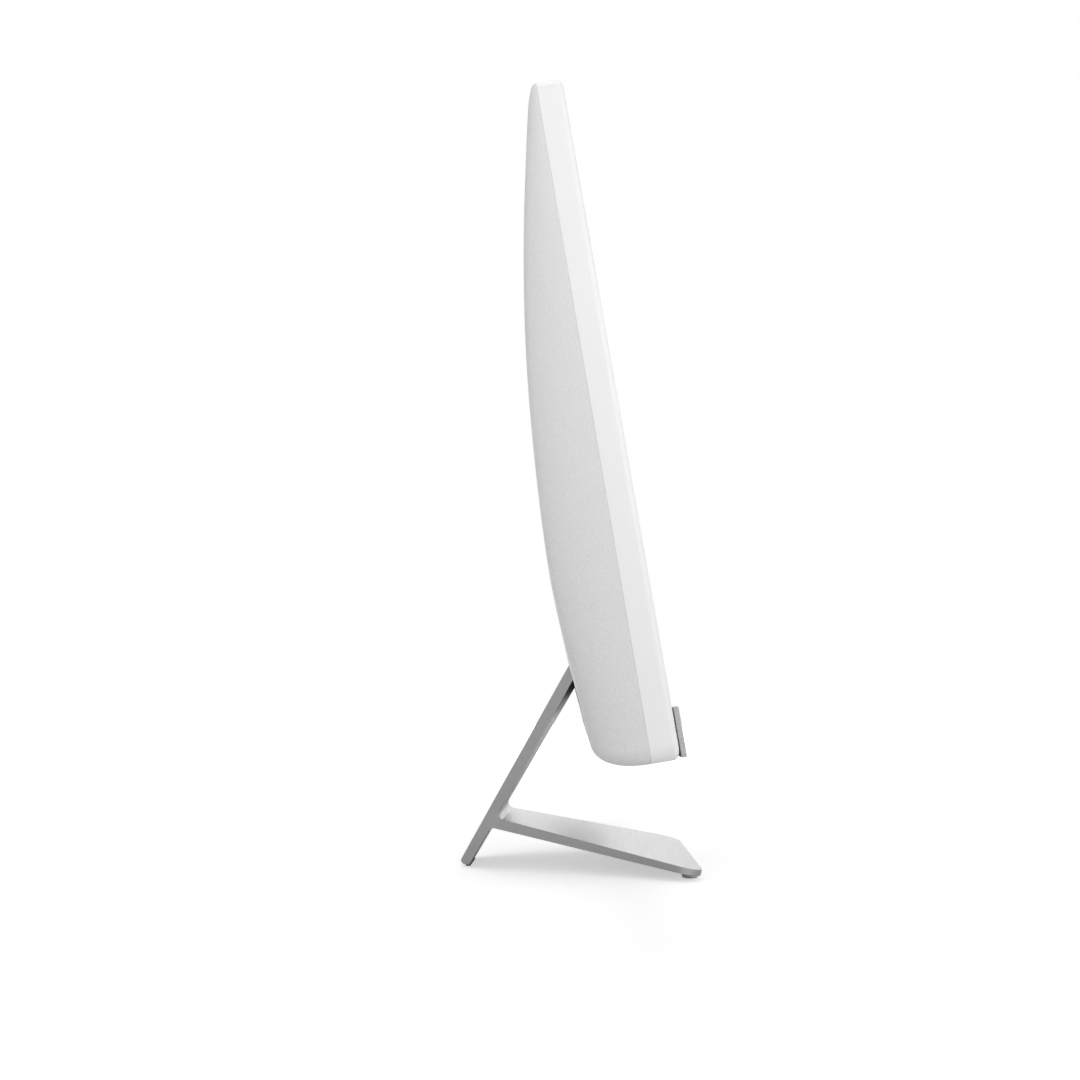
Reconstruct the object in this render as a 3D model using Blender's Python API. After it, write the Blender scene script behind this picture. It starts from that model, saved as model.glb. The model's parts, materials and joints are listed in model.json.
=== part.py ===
"""All in one PC on a leaning plate stand.

Every length here is in millimetres and is turned into metres when a mesh is made.
The row frame has +X to the right of someone facing the screen, -Y towards them and
+Z up, with the origin on the desk under the middle of the object.

The stand is drawn in that frame.  Everything in the tilting display is drawn in the
display's own frame (x, n, s): x across, n back from the front plane, s up the screen
from the bottom edge.  An empty on the tilt axis carries that frame.
"""

import math

import bmesh
import bpy
from mathutils import Matrix, Vector

MM = 0.001
GAP = 0.3                      # clearance between touching pieces

# ---- display ----
WIDTH = 489.3
HEIGHT = 315.4                 # along the leaning screen
LEAN = math.radians(9.19)      # at rest
FRONT_Y = -43.75               # front plane's bottom edge above the desk
FRONT_Z = 81.66
FRAME_DEPTH = 12.4
CORNER_RADIUS = 7.0
FRONT_ROUND = 3.0
WALL = 2.0
LIP = 1.5                      # thickness of the bezel's front wall
VIEW_WIDTH = 476.6             # 21.5 inch, 16:9
VIEW_HEIGHT = 268.1
VIEW_LOW = 40.8                # top of the chin
COVER_ROUND_POWER = 2.3
COVER_ROUND = {"side": 12.0, "bottom": 12.0, "top": 10.0}
COVER_THICKNESS = ((0.0, 23.0), (26.0, 24.7), (61.0, 28.2), (91.0, 29.5), (141.0, 27.9),
                   (191.0, 24.0), (241.0, 17.3), (286.0, 9.2), (315.4, 3.3))

# ---- stand ----
BRACE_LEAN = math.radians(30.0)
BRACE_THICKNESS = 6.6
BRACE_HALF_WIDTH = 35.3        # where the foot meets the brace
BRACE_FLARE = 0.428            # half width gained for each millimetre up the brace
BRACE_TOP = 111.0              # along the brace, inside the cover
FOOT_SLOPE = math.radians(12.07)
FOOT_REAR_THICKNESS = 6.65
FOOT_FRONT_THICKNESS = 3.71
FOOT_HALF_WIDTH = 35.73
FOOT_FRONT_HALF_WIDTH = 74.69
FOOT_FRONT_Y = -77.03
FOOT_CORNER_RADIUS = 17.0
KNEE = Vector((52.78, 33.93))  # (y, z) where the foot's top meets the brace
KNEE_FILLET = 4.0
LEG_BOTTOM_Z = 1.5
LEG_TIP_ROUND = 2.8
LEG_CORNER_RADIUS = 6.5
PAD_RADIUS = 5.0
PAD_X = 53.0
PAD_Y = -70.3
ARC_STEPS = 5

# ---- tilt hinge ----
AXIS_ALONG_BRACE = 115.0
BARREL_RADIUS = 5.0
BARREL_HALF_LENGTH = 80.0
SHAFT_RADIUS = 3.0
BORE_RADIUS = 3.35
EAR_INNER = 84.4
EAR_THICKNESS = 3.6
SLOT = {"half_width": 84.0, "low": 34.3, "high": 60.4}
SLOT_TRIM_WALL = 1.4

# ---- ports, vents, fan and button ----
PORT_BAY = {"left": 98.0, "right": 227.0, "low": 13.0, "high": 37.0}
PORT_FLOOR = 31.2              # n of the bay's floor
PORT_RIM = 36.2
PORT_FLOOR_THICKNESS = 1.5
BAY_WALL = 1.5
BOARD_FRONT = 17.5
BOARD_THICKNESS = 1.6
VENT_COUNT = 27
VENT_PITCH = 8.0
VENT_WIDTH = 3.0
VENT_LOW = 262.0
VENT_HIGH = 284.0
INTAKE_ROWS = 6
INTAKE_LOW = 98.0
INTAKE_PITCH = 7.0
INTAKE_HEIGHT = 2.6
INTAKE_HALF_WIDTH = 62.0
FAN_CENTRE = (-58.0, 177.0)
FAN_RADIUS = 31.0
FAN_HUB_RADIUS = 12.0
FAN_BLADES = 13
FAN_LOW = 16.5
FAN_HIGH = 24.7
SPINDLE_RADIUS = 1.5
LENS_S = 312.1
LENS_RADIUS = 1.1
BUTTON = {"s": 20.0, "n": 7.0, "length": 14.0, "width": 4.0}

FINISHES = {                   # colour, roughness, metallic
    "white_plastic": ((0.86, 0.86, 0.86), 0.35, 0.0),
    "cover_plastic": ((0.74, 0.74, 0.74), 0.55, 0.0),
    "speaker_mesh": ((0.33, 0.33, 0.33), 0.5, 0.3),
    "stand_metal": ((0.56, 0.56, 0.57), 0.38, 0.9),
    "rubber": ((0.05, 0.05, 0.05), 0.85, 0.0),
    "dark_plastic": ((0.04, 0.04, 0.04), 0.5, 0.0),
    "screen_glass": ((0.01, 0.01, 0.012), 0.08, 0.0),
    "film": ((0.8, 0.8, 0.8), 0.4, 0.0),
    "steel": ((0.55, 0.55, 0.54), 0.4, 1.0),
    "circuit_board": ((0.02, 0.12, 0.06), 0.5, 0.0),
    "copper": ((0.72, 0.38, 0.22), 0.35, 1.0),
    "aluminium": ((0.7, 0.7, 0.7), 0.4, 1.0),
    "chip": ((0.03, 0.03, 0.03), 0.45, 0.0),
}


# ---------------------------------------------------------------- scene and frames

def clear_scene():
    """Remove whatever the file holds."""
    for thing in list(bpy.data.objects):
        bpy.data.objects.remove(thing, do_unlink=True)


def make_finish(name):
    """Principled material for one of the FINISHES."""
    colour, roughness, metallic = FINISHES[name]
    material = bpy.data.materials.get(name) or bpy.data.materials.new(name)
    material.use_nodes = True
    shader = material.node_tree.nodes["Principled BSDF"]
    shader.inputs["Base Color"].default_value = (*colour, 1.0)
    shader.inputs["Roughness"].default_value = roughness
    shader.inputs["Metallic"].default_value = metallic
    return material


def brace_direction():
    """Unit (y, z) vector up the brace."""
    return Vector((-math.sin(BRACE_LEAN), math.cos(BRACE_LEAN)))


def brace_point(along, depth):
    """(y, z) of a point on the brace: along it from the knee, depth back from its front face."""
    normal = Vector((math.cos(BRACE_LEAN), math.sin(BRACE_LEAN)))
    return KNEE + brace_direction() * along + normal * depth


def tilt_axis():
    """(y, z) of the tilt axis in the row frame."""
    return brace_point(AXIS_ALONG_BRACE, BRACE_THICKNESS / 2)


def tilt_axis_in_display():
    """(n, s) of the tilt axis in the display frame."""
    away = tilt_axis() - Vector((FRONT_Y, FRONT_Z))
    up = Vector((math.sin(LEAN), math.cos(LEAN)))
    back = Vector((math.cos(LEAN), -math.sin(LEAN)))
    return away.dot(back), away.dot(up)


def make_display_frame():
    """Empty on the tilt axis, turned so its axes are the display's x, n and s."""
    y, z = tilt_axis()
    empty = bpy.data.objects.new("display_frame", None)
    empty.location = (0.0, y * MM, z * MM)
    empty.rotation_euler = (-LEAN, 0.0, 0.0)
    bpy.context.collection.objects.link(empty)
    return empty


# ---------------------------------------------------------------- mesh helpers

def add_object(name, bm, parent=None, origin=(0.0, 0.0, 0.0)):
    """Turn a bmesh in millimetres into an object whose origin is at origin."""
    bmesh.ops.recalc_face_normals(bm, faces=bm.faces)
    bm.transform(Matrix.Scale(MM, 4))
    mesh = bpy.data.meshes.new(name)
    bm.to_mesh(mesh)
    bm.free()
    thing = bpy.data.objects.new(name, mesh)
    bpy.context.collection.objects.link(thing)
    thing.parent = parent
    thing.location = Vector(origin) * MM
    return thing


def display_origin(point=(0.0, 0.0, 0.0)):
    """Place of a display-frame point (x, n, s) as seen from the tilt axis."""
    axis_n, axis_s = tilt_axis_in_display()
    return (point[0], point[1] - axis_n, point[2] - axis_s)


def piece(name, bm, finish, parent=None, origin=(0.0, 0.0, 0.0), smooth=None):
    """A named sub-part with its material."""
    thing = add_object(name, bm, parent, origin)
    thing.data.materials.append(make_finish(finish))
    if smooth is not None:
        thing.data.shade_smooth()
        thing.data.set_sharp_from_angle(angle=math.radians(smooth))
    return thing


def cut(target, name, bm, parent=None, origin=(0.0, 0.0, 0.0), operation="DIFFERENCE"):
    """Cut a shape out of target, or join it on, with a hidden guide object."""
    guide = add_object(name, bm, parent, origin)
    guide.hide_render = True
    guide.display_type = "WIRE"
    modifier = target.modifiers.new(name, "BOOLEAN")
    modifier.operation = operation
    modifier.solver = "EXACT"
    modifier.object = guide


def loft(loops, closed=False, bm=None):
    """Skin a list of loops of 3-D points, with end faces or joined end to start."""
    bm = bm or bmesh.new()
    rings = [[bm.verts.new(point) for point in loop] for loop in loops]
    count = len(rings[0])
    pairs = list(zip(rings, rings[1:]))
    if closed:
        pairs.append((rings[-1], rings[0]))
    for lower, upper in pairs:
        for i in range(count):
            j = (i + 1) % count
            bm.faces.new((lower[i], lower[j], upper[j], upper[i]))
    if not closed:
        bm.faces.new(reversed(rings[0]))
        bm.faces.new(rings[-1])
    return bm


def box(x, n, s, bm=None):
    """Block between two values on each axis."""
    bm = bm or bmesh.new()
    corners = ((x[0], s[0]), (x[1], s[0]), (x[1], s[1]), (x[0], s[1]))
    return loft([[(px, depth, ps) for px, ps in corners] for depth in n], bm=bm)


def circle(centre, radius, steps, start=0.0):
    """Points (a, b) round a circle."""
    turns = [start + 2 * math.pi * i / steps for i in range(steps)]
    return [(centre[0] + radius * math.cos(a), centre[1] + radius * math.sin(a)) for a in turns]


def disc(centre, radius, n, steps=24):
    """Round block whose axis runs along n."""
    return loft([[(x, depth, s) for x, s in circle(centre, radius, steps)] for depth in n])


def rod(centre, radius, x, steps=24):
    """Round bar along x, centred at (n, s)."""
    return loft([[(side, n, s) for n, s in circle(centre, radius, steps)] for side in x])


def ring(centre, outer, inner, x, steps=24):
    """Washer or nut along x with a plain bore; both radii take the same steps."""
    rims = ((outer, x[0]), (outer, x[1]), (inner, x[1]), (inner, x[0]))
    return loft([[(side, n, s) for n, s in circle(centre, radius, steps)] for radius, side in rims],
                closed=True)


def rounded_rectangle(half_width, low, high, radius, steps=4):
    """Loop of (x, s) points with round corners, anticlockwise from the bottom right."""
    corners = ((half_width, low, 270), (half_width, high, 0), (-half_width, high, 90),
               (-half_width, low, 180))
    points = []
    for x, s, start in corners:
        centre_x = x - math.copysign(radius, x)
        centre_s = s + radius if s == low else s - radius
        for i in range(steps + 1):
            angle = math.radians(start + 90 * i / steps)
            points.append((centre_x + radius * math.cos(angle), centre_s + radius * math.sin(angle)))
    return points


def at_depth(points, n):
    """Give a loop of (x, s) points the same depth."""
    return [(x, n, s) for x, s in points]


def fillet(corner, towards_a, towards_b, radius, steps=ARC_STEPS):
    """Arc of (y, z) points that rounds a corner between two directions."""
    a = towards_a.normalized()
    b = towards_b.normalized()
    half_angle = a.angle(b) / 2
    centre = corner + (a + b).normalized() * (radius / math.sin(half_angle))
    start = corner + a * (radius / math.tan(half_angle)) - centre
    end = corner + b * (radius / math.tan(half_angle)) - centre
    spokes = [start.slerp(end, i / steps).normalized() for i in range(steps + 1)]
    return [centre + spoke * radius for spoke in spokes]


# ---------------------------------------------------------------- stand

def corner_inset(distance, radius):
    """How far a rounded corner pulls the side in, at a distance from the end."""
    if distance >= radius:
        return 0.0
    return radius - math.sqrt(radius ** 2 - (radius - distance) ** 2)


def foot_point(along, depth):
    """(y, z) of a point on the foot: along it from the knee, depth below its top."""
    forward = Vector((-math.cos(FOOT_SLOPE), -math.sin(FOOT_SLOPE)))
    below = Vector((math.sin(FOOT_SLOPE), -math.cos(FOOT_SLOPE)))
    return KNEE + forward * along + below * depth


def foot_length():
    """Length of the foot's top from the knee to its front edge."""
    return (KNEE.x - FOOT_FRONT_Y) / math.cos(FOOT_SLOPE)


def foot_thickness(along):
    """The foot gets thinner to the front."""
    share = along / foot_length()
    return FOOT_REAR_THICKNESS + (FOOT_FRONT_THICKNESS - FOOT_REAR_THICKNESS) * share


def foot_half_width(along):
    """The foot flares to the front and ends in round corners."""
    share = along / foot_length()
    straight = FOOT_HALF_WIDTH + (FOOT_FRONT_HALF_WIDTH - FOOT_HALF_WIDTH) * share
    return straight - corner_inset(foot_length() - along, FOOT_CORNER_RADIUS)


def brace_half_width(along):
    """The brace flares upwards; its leg ends in round corners on the desk."""
    leg_end = (LEG_BOTTOM_Z - KNEE.y - BRACE_THICKNESS * math.sin(BRACE_LEAN)) / math.cos(BRACE_LEAN)
    straight = min(BRACE_HALF_WIDTH + BRACE_FLARE * along, BARREL_HALF_LENGTH)
    return straight - corner_inset(max(along - leg_end, 0.0), LEG_CORNER_RADIUS)


def brace_shoulder():
    """Distance up the brace where its flare reaches the hinge barrel's length."""
    return (BARREL_HALF_LENGTH - BRACE_HALF_WIDTH) / BRACE_FLARE


def along_brace(point):
    """How far up the brace a (y, z) point lies."""
    return (point - KNEE).dot(brace_direction())


def under_knee():
    """(y, z) where the foot's underside meets the leg's front face."""
    forward = foot_point(1.0, 0.0) - KNEE
    start = foot_point(0.0, FOOT_REAR_THICKNESS)
    up = brace_direction()
    slope = forward.x * up.y - forward.y * up.x
    away = KNEE - start
    share = (away.x * up.y - away.y * up.x) / slope
    return start + forward * share


def stand_outline():
    """Side view of the stand as named runs of (y, z, half width) points."""
    up = brace_direction()
    forward = foot_point(1.0, 0.0) - KNEE
    knee = fillet(KNEE, forward, up, KNEE_FILLET)
    below = under_knee()
    under = fillet(below, -up, forward, KNEE_FILLET)
    tip_corner = brace_point(0.0, BRACE_THICKNESS)
    tip_corner = tip_corner - up * ((tip_corner.y - LEG_BOTTOM_Z) / up.y)
    tip = fillet(tip_corner, up, Vector((-1.0, 0.0)), LEG_TIP_ROUND)
    leg_front = brace_point((LEG_BOTTOM_Z - KNEE.y) / up.y, 0.0)

    def on_brace(point):
        return (point.x, point.y, brace_half_width(along_brace(point)))

    knee_width = foot_half_width((knee[0] - KNEE).length)
    under_width = foot_half_width(0.0)
    return {
        "knee": [(p.x, p.y, knee_width) for p in knee],
        "brace_front": [on_brace(brace_point(along, 0.0)) for along in (brace_shoulder(), BRACE_TOP)],
        "brace_back": [on_brace(brace_point(BRACE_TOP, BRACE_THICKNESS)),
                       on_brace(brace_point(brace_shoulder(), BRACE_THICKNESS)),
                       on_brace(brace_point(along_brace(knee[-1]), BRACE_THICKNESS)),
                       on_brace(brace_point(along_brace(under[0]), BRACE_THICKNESS))],
        "tip": [on_brace(p) for p in tip],
        "leg_front": [on_brace(leg_front)],
        "under": [(p.x, p.y, under_width) for p in under],
    }


def foot_stations():
    """Distances along the foot: the straight run, then the round front corners."""
    length = foot_length()
    turns = [math.radians(90 * i / ARC_STEPS) for i in range(ARC_STEPS + 1)]
    return [length - FOOT_CORNER_RADIUS * (1 - math.sin(a)) for a in turns]


def make_stand():
    """Brace, leg and foot as one plate-like piece, with the hinge barrel on its top edge."""
    runs = stand_outline()
    foot_top = []
    foot_under = []
    for along in foot_stations():
        half_width = foot_half_width(along)
        foot_top.append((*foot_point(along, 0.0), half_width))
        foot_under.append((*foot_point(along, foot_thickness(along)), half_width))
    parts = [foot_top[::-1], runs["knee"], runs["brace_front"], runs["brace_back"], runs["tip"],
             runs["leg_front"], runs["under"], foot_under]
    outline = [point for part in parts for point in part]
    bm = bmesh.new()
    near = {p: bm.verts.new((-p[2], p[0], p[1])) for p in outline}
    far = {p: bm.verts.new((p[2], p[0], p[1])) for p in outline}
    for p, q in zip(outline, outline[1:] + outline[:1]):
        bm.faces.new((near[p], near[q], far[q], far[p]))
    front_shoulder, front_top = runs["brace_front"]
    back_top, back_shoulder, back_knee, back_under = runs["brace_back"]
    panels = [
        [front_shoulder, front_top, back_top, back_shoulder],
        [runs["knee"][-1], front_shoulder, back_shoulder, back_knee],
        [*runs["knee"], back_knee, back_under, *runs["under"]],
        [runs["under"][0], back_under, *runs["tip"], runs["leg_front"][0]],
        [runs["knee"][0], runs["under"][-1], foot_under[0], foot_top[0]],
    ]
    for i in range(ARC_STEPS):
        panels.append([foot_top[i], foot_under[i], foot_under[i + 1], foot_top[i + 1]])
    for panel in panels:
        bm.faces.new([near[p] for p in panel])
        bm.faces.new([far[p] for p in panel])
    stand = piece("stand", bm, "stand_metal")
    axis = tilt_axis()
    length = BARREL_HALF_LENGTH
    cut(stand, "stand_barrel", rod(axis, BARREL_RADIUS, (-length, length)), operation="UNION")
    cut(stand, "stand_bore", rod(axis, BORE_RADIUS, (-length - 1, length + 1)))
    return stand


def foot_underside(y):
    """Height of the foot's underside at y."""
    start = foot_point(0.0, FOOT_REAR_THICKNESS)
    end = foot_point(foot_length(), FOOT_FRONT_THICKNESS)
    share = (y - start.x) / (end.x - start.x)
    return start.y + (end.y - start.y) * share


def make_foot_pads():
    """Rubber pads: one under each front corner and a strip under the leg."""
    for name, x in (("foot_pad_left", -PAD_X), ("foot_pad_right", PAD_X)):
        outline = circle((x, PAD_Y), PAD_RADIUS, 20)
        bottom = [(px, py, 0.0) for px, py in outline]
        top = [(px, py, foot_underside(py) - GAP) for px, py in outline]
        piece(name, loft([bottom, top]), "rubber")
    front = stand_outline()["leg_front"][0][0]
    back = stand_outline()["tip"][-1][0]       # the flat under the leg ends here
    half_width = brace_half_width(along_brace(Vector((front, LEG_BOTTOM_Z)))) - 5.0
    corners = ((-half_width, front), (half_width, front), (half_width, back), (-half_width, back))
    pad = loft([[(x, y, z) for x, y in corners] for z in (0.0, LEG_BOTTOM_Z - GAP)])
    piece("leg_pad", pad, "rubber")


# ---------------------------------------------------------------- display shells

def smooth_between(table, at):
    """Smooth curve through a short table of (place, value) points."""
    places = [row[0] for row in table]
    values = [row[1] for row in table]
    last = len(table) - 1
    i = max(0, min(last - 1, sum(1 for p in places[1:] if p < at)))

    def slope(k):
        low, high = max(0, k - 1), min(last, k + 1)
        return (values[high] - values[low]) / (places[high] - places[low])

    span = places[i + 1] - places[i]
    t = (at - places[i]) / span
    start, end = values[i], values[i + 1]
    return ((2 * t ** 3 - 3 * t ** 2 + 1) * start + (t ** 3 - 2 * t ** 2 + t) * span * slope(i)
            + (3 * t ** 2 - 2 * t ** 3) * end + (t ** 3 - t ** 2) * span * slope(i + 1))


def cover_back(s):
    """n of the rear cover's outer face at height s, away from its round edges."""
    return FRAME_DEPTH + smooth_between(COVER_THICKNESS, s)


def edge_rise(inset, reach):
    """Share of the full thickness that the round edge has reached at an inset."""
    left = max(0.0, 1.0 - inset / reach)
    return (1.0 - left ** COVER_ROUND_POWER) ** (1.0 / COVER_ROUND_POWER)


def cover_half_loop(inset, steps=4, stations=15):
    """Right half of the cover's outline at an inset, as (x, s, round edge's reach)."""
    half_width = WIDTH / 2 - inset
    low, high = inset, HEIGHT - inset
    radius = CORNER_RADIUS - 0.35 * inset
    side, bottom, top = (COVER_ROUND[key] for key in ("side", "bottom", "top"))
    points = []
    for i in range(steps + 1):
        share = i / steps
        angle = math.radians(270 + 90 * share)
        reach = bottom + (side - bottom) * share
        points.append((half_width - radius + radius * math.cos(angle),
                       low + radius + radius * math.sin(angle), reach))
    for i in range(1, stations):
        points.append((half_width, low + radius + (high - low - 2 * radius) * i / stations, side))
    for i in range(steps + 1):
        share = i / steps
        angle = math.radians(90 * share)
        reach = side + (top - side) * share
        points.append((half_width - radius + radius * math.cos(angle),
                       high - radius + radius * math.sin(angle), reach))
    return points


def cover_depth(point, inset, inside):
    """n of the cover's outer or inner face at a point (x, s, round edge's reach)."""
    x, s, reach = point
    thickness = cover_back(s) - FRAME_DEPTH
    if not inside:
        return FRAME_DEPTH + thickness * edge_rise(inset, reach)
    hollow = thickness - WALL - GAP
    return FRAME_DEPTH + GAP + hollow * edge_rise(inset - WALL, reach - WALL)


def cover_rings(bm, insets, inside):
    """Rings of vertices that step in from the cover's edge, as (right half, left half)."""
    rim = FRAME_DEPTH + GAP
    rings = []
    for inset in insets:
        half = cover_half_loop(inset)
        depth = [max(rim, cover_depth(point, inset, inside)) for point in half]
        right = [bm.verts.new((point[0], n, point[1])) for point, n in zip(half, depth)]
        left = [bm.verts.new((-point[0], n, point[1])) for point, n in zip(half, depth)]
        rings.append((right, left))
    return rings


def cover_shell():
    """Closed shell: outer face, flat rim against the frame, inner face."""
    bm = bmesh.new()
    outer = cover_rings(bm, (0.0, 0.25, 0.8, 1.8, 3.2, 5.0, 7.2, 9.6, 12.0), False)
    inner = cover_rings(bm, (2.0, 2.4, 3.2, 4.6, 6.6, 9.2, 12.0), True)
    rings = outer[::-1] + inner
    for (right, left), (next_right, next_left) in zip(rings, rings[1:]):
        loop = right + left[::-1]
        next_loop = next_right + next_left[::-1]
        count = len(loop)
        for i in range(count):
            j = (i + 1) % count
            bm.faces.new((loop[i], loop[j], next_loop[j], next_loop[i]))
    for right, left in (outer[-1], inner[-1]):
        for i in range(len(right) - 1):
            bm.faces.new((right[i], left[i], left[i + 1], right[i + 1]))
    return bm


def make_rear_cover(display):
    """Thin plastic shell, thickest low down, with its slot, port bay and vents cut out."""
    cover = piece("rear_cover", cover_shell(), "cover_plastic", display, display_origin(), smooth=35)
    through = (25.0, 48.0)
    edge = SLOT_TRIM_WALL + GAP
    slot_x = SLOT["half_width"] + edge
    slot = box((-slot_x, slot_x), through, (SLOT["low"] - edge, SLOT["high"] + edge))
    cut(cover, "slot_cutter", slot, display, display_origin())
    bay = box((PORT_BAY["left"], PORT_BAY["right"]), through, (PORT_BAY["low"], PORT_BAY["high"]))
    cut(cover, "bay_cutter", bay, display, display_origin())
    vents = bmesh.new()
    for i in range(VENT_COUNT):
        x = (i - (VENT_COUNT - 1) / 2) * VENT_PITCH
        box((x - VENT_WIDTH / 2, x + VENT_WIDTH / 2), (14.5, 48.0), (VENT_LOW, VENT_HIGH), bm=vents)
    for i in range(INTAKE_ROWS):
        low = INTAKE_LOW + i * INTAKE_PITCH
        for side in (-1, 1):
            reach = sorted((side * 4.0, side * INTAKE_HALF_WIDTH))
            box(reach, through, (low, low + INTAKE_HEIGHT), bm=vents)
    cut(cover, "vent_cutter", vents, display, display_origin())


def make_slot_trim(display):
    """Dark liner round the stand's slot; it follows the cover's face."""
    stations = 5
    low, high, half_width = SLOT["low"], SLOT["high"], SLOT["half_width"]

    def loop(grow, above):
        heights = [low - grow + (high - low + 2 * grow) * i / stations for i in range(stations + 1)]
        right = [(half_width + grow, cover_back(s) + above, s) for s in heights]
        left = [(-half_width - grow, cover_back(s) + above, s) for s in reversed(heights)]
        return right + left

    loops = [loop(SLOT_TRIM_WALL, -WALL), loop(SLOT_TRIM_WALL, GAP), loop(0.0, GAP), loop(0.0, -WALL)]
    piece("slot_trim", loft(loops, closed=True), "dark_plastic", display, display_origin())


def make_front_frame(display):
    """White frame: side walls, bezel lip and chin in one moulding."""
    half = WIDTH / 2
    loops = [at_depth(rounded_rectangle(half, 0.0, HEIGHT, CORNER_RADIUS), FRAME_DEPTH)]
    for i in range(ARC_STEPS + 1):
        angle = math.radians(90 * i / ARC_STEPS)
        inset = FRONT_ROUND * (1 - math.cos(angle))
        depth = FRONT_ROUND * (1 - math.sin(angle))
        loops.append(at_depth(rounded_rectangle(half - inset, inset, HEIGHT - inset,
                                                CORNER_RADIUS - inset), depth))
    view = rounded_rectangle(VIEW_WIDTH / 2, VIEW_LOW, VIEW_LOW + VIEW_HEIGHT, 1.0)
    cavity = rounded_rectangle(half - WALL, WALL, HEIGHT - WALL, CORNER_RADIUS - WALL)
    loops += [at_depth(view, 0.0), at_depth(view, LIP), at_depth(cavity, LIP),
              at_depth(cavity, FRAME_DEPTH)]
    frame = piece("front_frame", loft(loops, closed=True), "white_plastic", display,
                  display_origin(), smooth=40)
    sound = bmesh.new()
    for side in (-1, 1):
        box(sorted((side * 150.0, side * 212.0)), (-1.0, 2.0), (6.0, 16.0), bm=sound)
    cut(frame, "sound_cutter", sound, display, display_origin())
    lens = disc((0.0, LENS_S), LENS_RADIUS + GAP, (-1.0, 2.0), steps=16)
    cut(frame, "lens_cutter", lens, display, display_origin())
    side = (half - WALL - 1.0, half + 1.0)
    cut(frame, "button_cutter", pill(side, GAP), display, display_origin())


def pill(x, grow):
    """Round-ended bar along x at the power button's place."""
    radius = BUTTON["width"] / 2 + grow
    reach = BUTTON["length"] / 2 - BUTTON["width"] / 2
    outline = []
    for end, start in ((1, 0), (-1, 180)):
        for i in range(7):
            angle = math.radians(start + 30 * i)
            outline.append((BUTTON["n"] + radius * math.cos(angle),
                            BUTTON["s"] + end * reach + radius * math.sin(angle)))
    return loft([[(side, n, s) for n, s in outline] for side in x])


def make_speaker_bar(display):
    """Grey strip along the bottom of the front, standing proud of it."""
    half = 240.0
    low, high = 1.6, 21.9
    back, front = -GAP, -3.1
    edge = 0.6
    loops = [at_depth(rounded_rectangle(half, low, high, 1.0, 2), back),
             at_depth(rounded_rectangle(half, low, high, 1.0, 2), front + edge),
             at_depth(rounded_rectangle(half - edge, low + edge, high - edge, 0.4, 2), front)]
    piece("speaker_bar", loft(loops), "speaker_mesh", display, display_origin(), smooth=50)


# ---------------------------------------------------------------- inside the display

def make_blocks(display):
    """Inner modules whose working shape is a plain slab: name, finish, x, n, s."""
    view = (VIEW_LOW - 1.0, VIEW_LOW + VIEW_HEIGHT + 0.8)
    board = BOARD_FRONT + BOARD_THICKNESS + GAP
    blocks = (
        ("lcd_panel", "screen_glass", (-240.5, 240.5), (1.8, 3.4), view),
        ("diffuser_sheet", "film", (-240.5, 240.5), (3.7, 4.5), view),
        ("light_guide", "film", (-240.5, 240.5), (4.8, 7.6), view),
        ("led_strip", "circuit_board", (-236.0, 236.0), (4.8, 7.6), (38.1, 39.5)),
        ("webcam_board", "circuit_board", (-22.0, 22.0), (3.2, 5.0), (310.3, 313.1)),
        ("speaker_left", "dark_plastic", (-220.0, -140.0), (2.4, 12.1), (3.0, 31.0)),
        ("speaker_right", "dark_plastic", (140.0, 220.0), (2.4, 12.1), (3.0, 31.0)),
        ("processor", "chip", (51.0, 89.0), (board, 21.6), (166.0, 204.0)),
        ("cold_plate", "copper", (47.0, 93.0), (21.9, 24.1), (162.0, 208.0)),
        ("memory_socket_1", "dark_plastic", (108.0, 180.0), (board, 23.9), (114.0, 119.0)),
        ("memory_socket_2", "dark_plastic", (108.0, 180.0), (board, 23.9), (156.0, 161.0)),
        ("memory_module_1", "circuit_board", (110.2, 177.8), (21.6, 22.8), (119.3, 149.3)),
        ("memory_module_2", "circuit_board", (110.2, 177.8), (21.6, 22.8), (161.3, 191.3)),
        ("solid_state_drive", "circuit_board", (112.0, 192.0), (21.0, 23.3), (200.0, 222.0)),
        ("wireless_card", "circuit_board", (184.0, 206.0), (21.0, 23.0), (100.0, 130.0)),
        ("hard_disk", "aluminium", (-220.0, -120.0), (16.8, 26.3), (132.0, 202.0)),
        ("antenna_left", "circuit_board", (-190.0, -140.0), (14.2, 15.0), (286.0, 294.0)),
        ("antenna_right", "circuit_board", (140.0, 190.0), (14.2, 15.0), (286.0, 294.0)),
        ("power_switch", "dark_plastic", (232.0, 239.2), (5.0, 9.0), (14.0, 26.0)),
    )
    for name, finish, x, n, s in blocks:
        piece(name, box(x, n, s), finish, display, display_origin())


def make_backlight_tray(display):
    """Steel pan behind the light guide, with a wide opening in its back."""
    half, low, high = 241.8, VIEW_LOW - 3.5, VIEW_LOW + VIEW_HEIGHT + 1.6
    sheet = 0.8
    border = 8.0
    front, back = 7.9, 12.0

    def loop(shrink, n):
        return at_depth(rounded_rectangle(half - shrink, low + shrink, high - shrink, 0.9, 1), n)

    loops = [loop(0.0, front), loop(0.0, back), loop(border, back), loop(border, back - sheet),
             loop(sheet, back - sheet), loop(sheet, front)]
    piece("backlight_tray", loft(loops, closed=True), "steel", display, display_origin())


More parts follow.
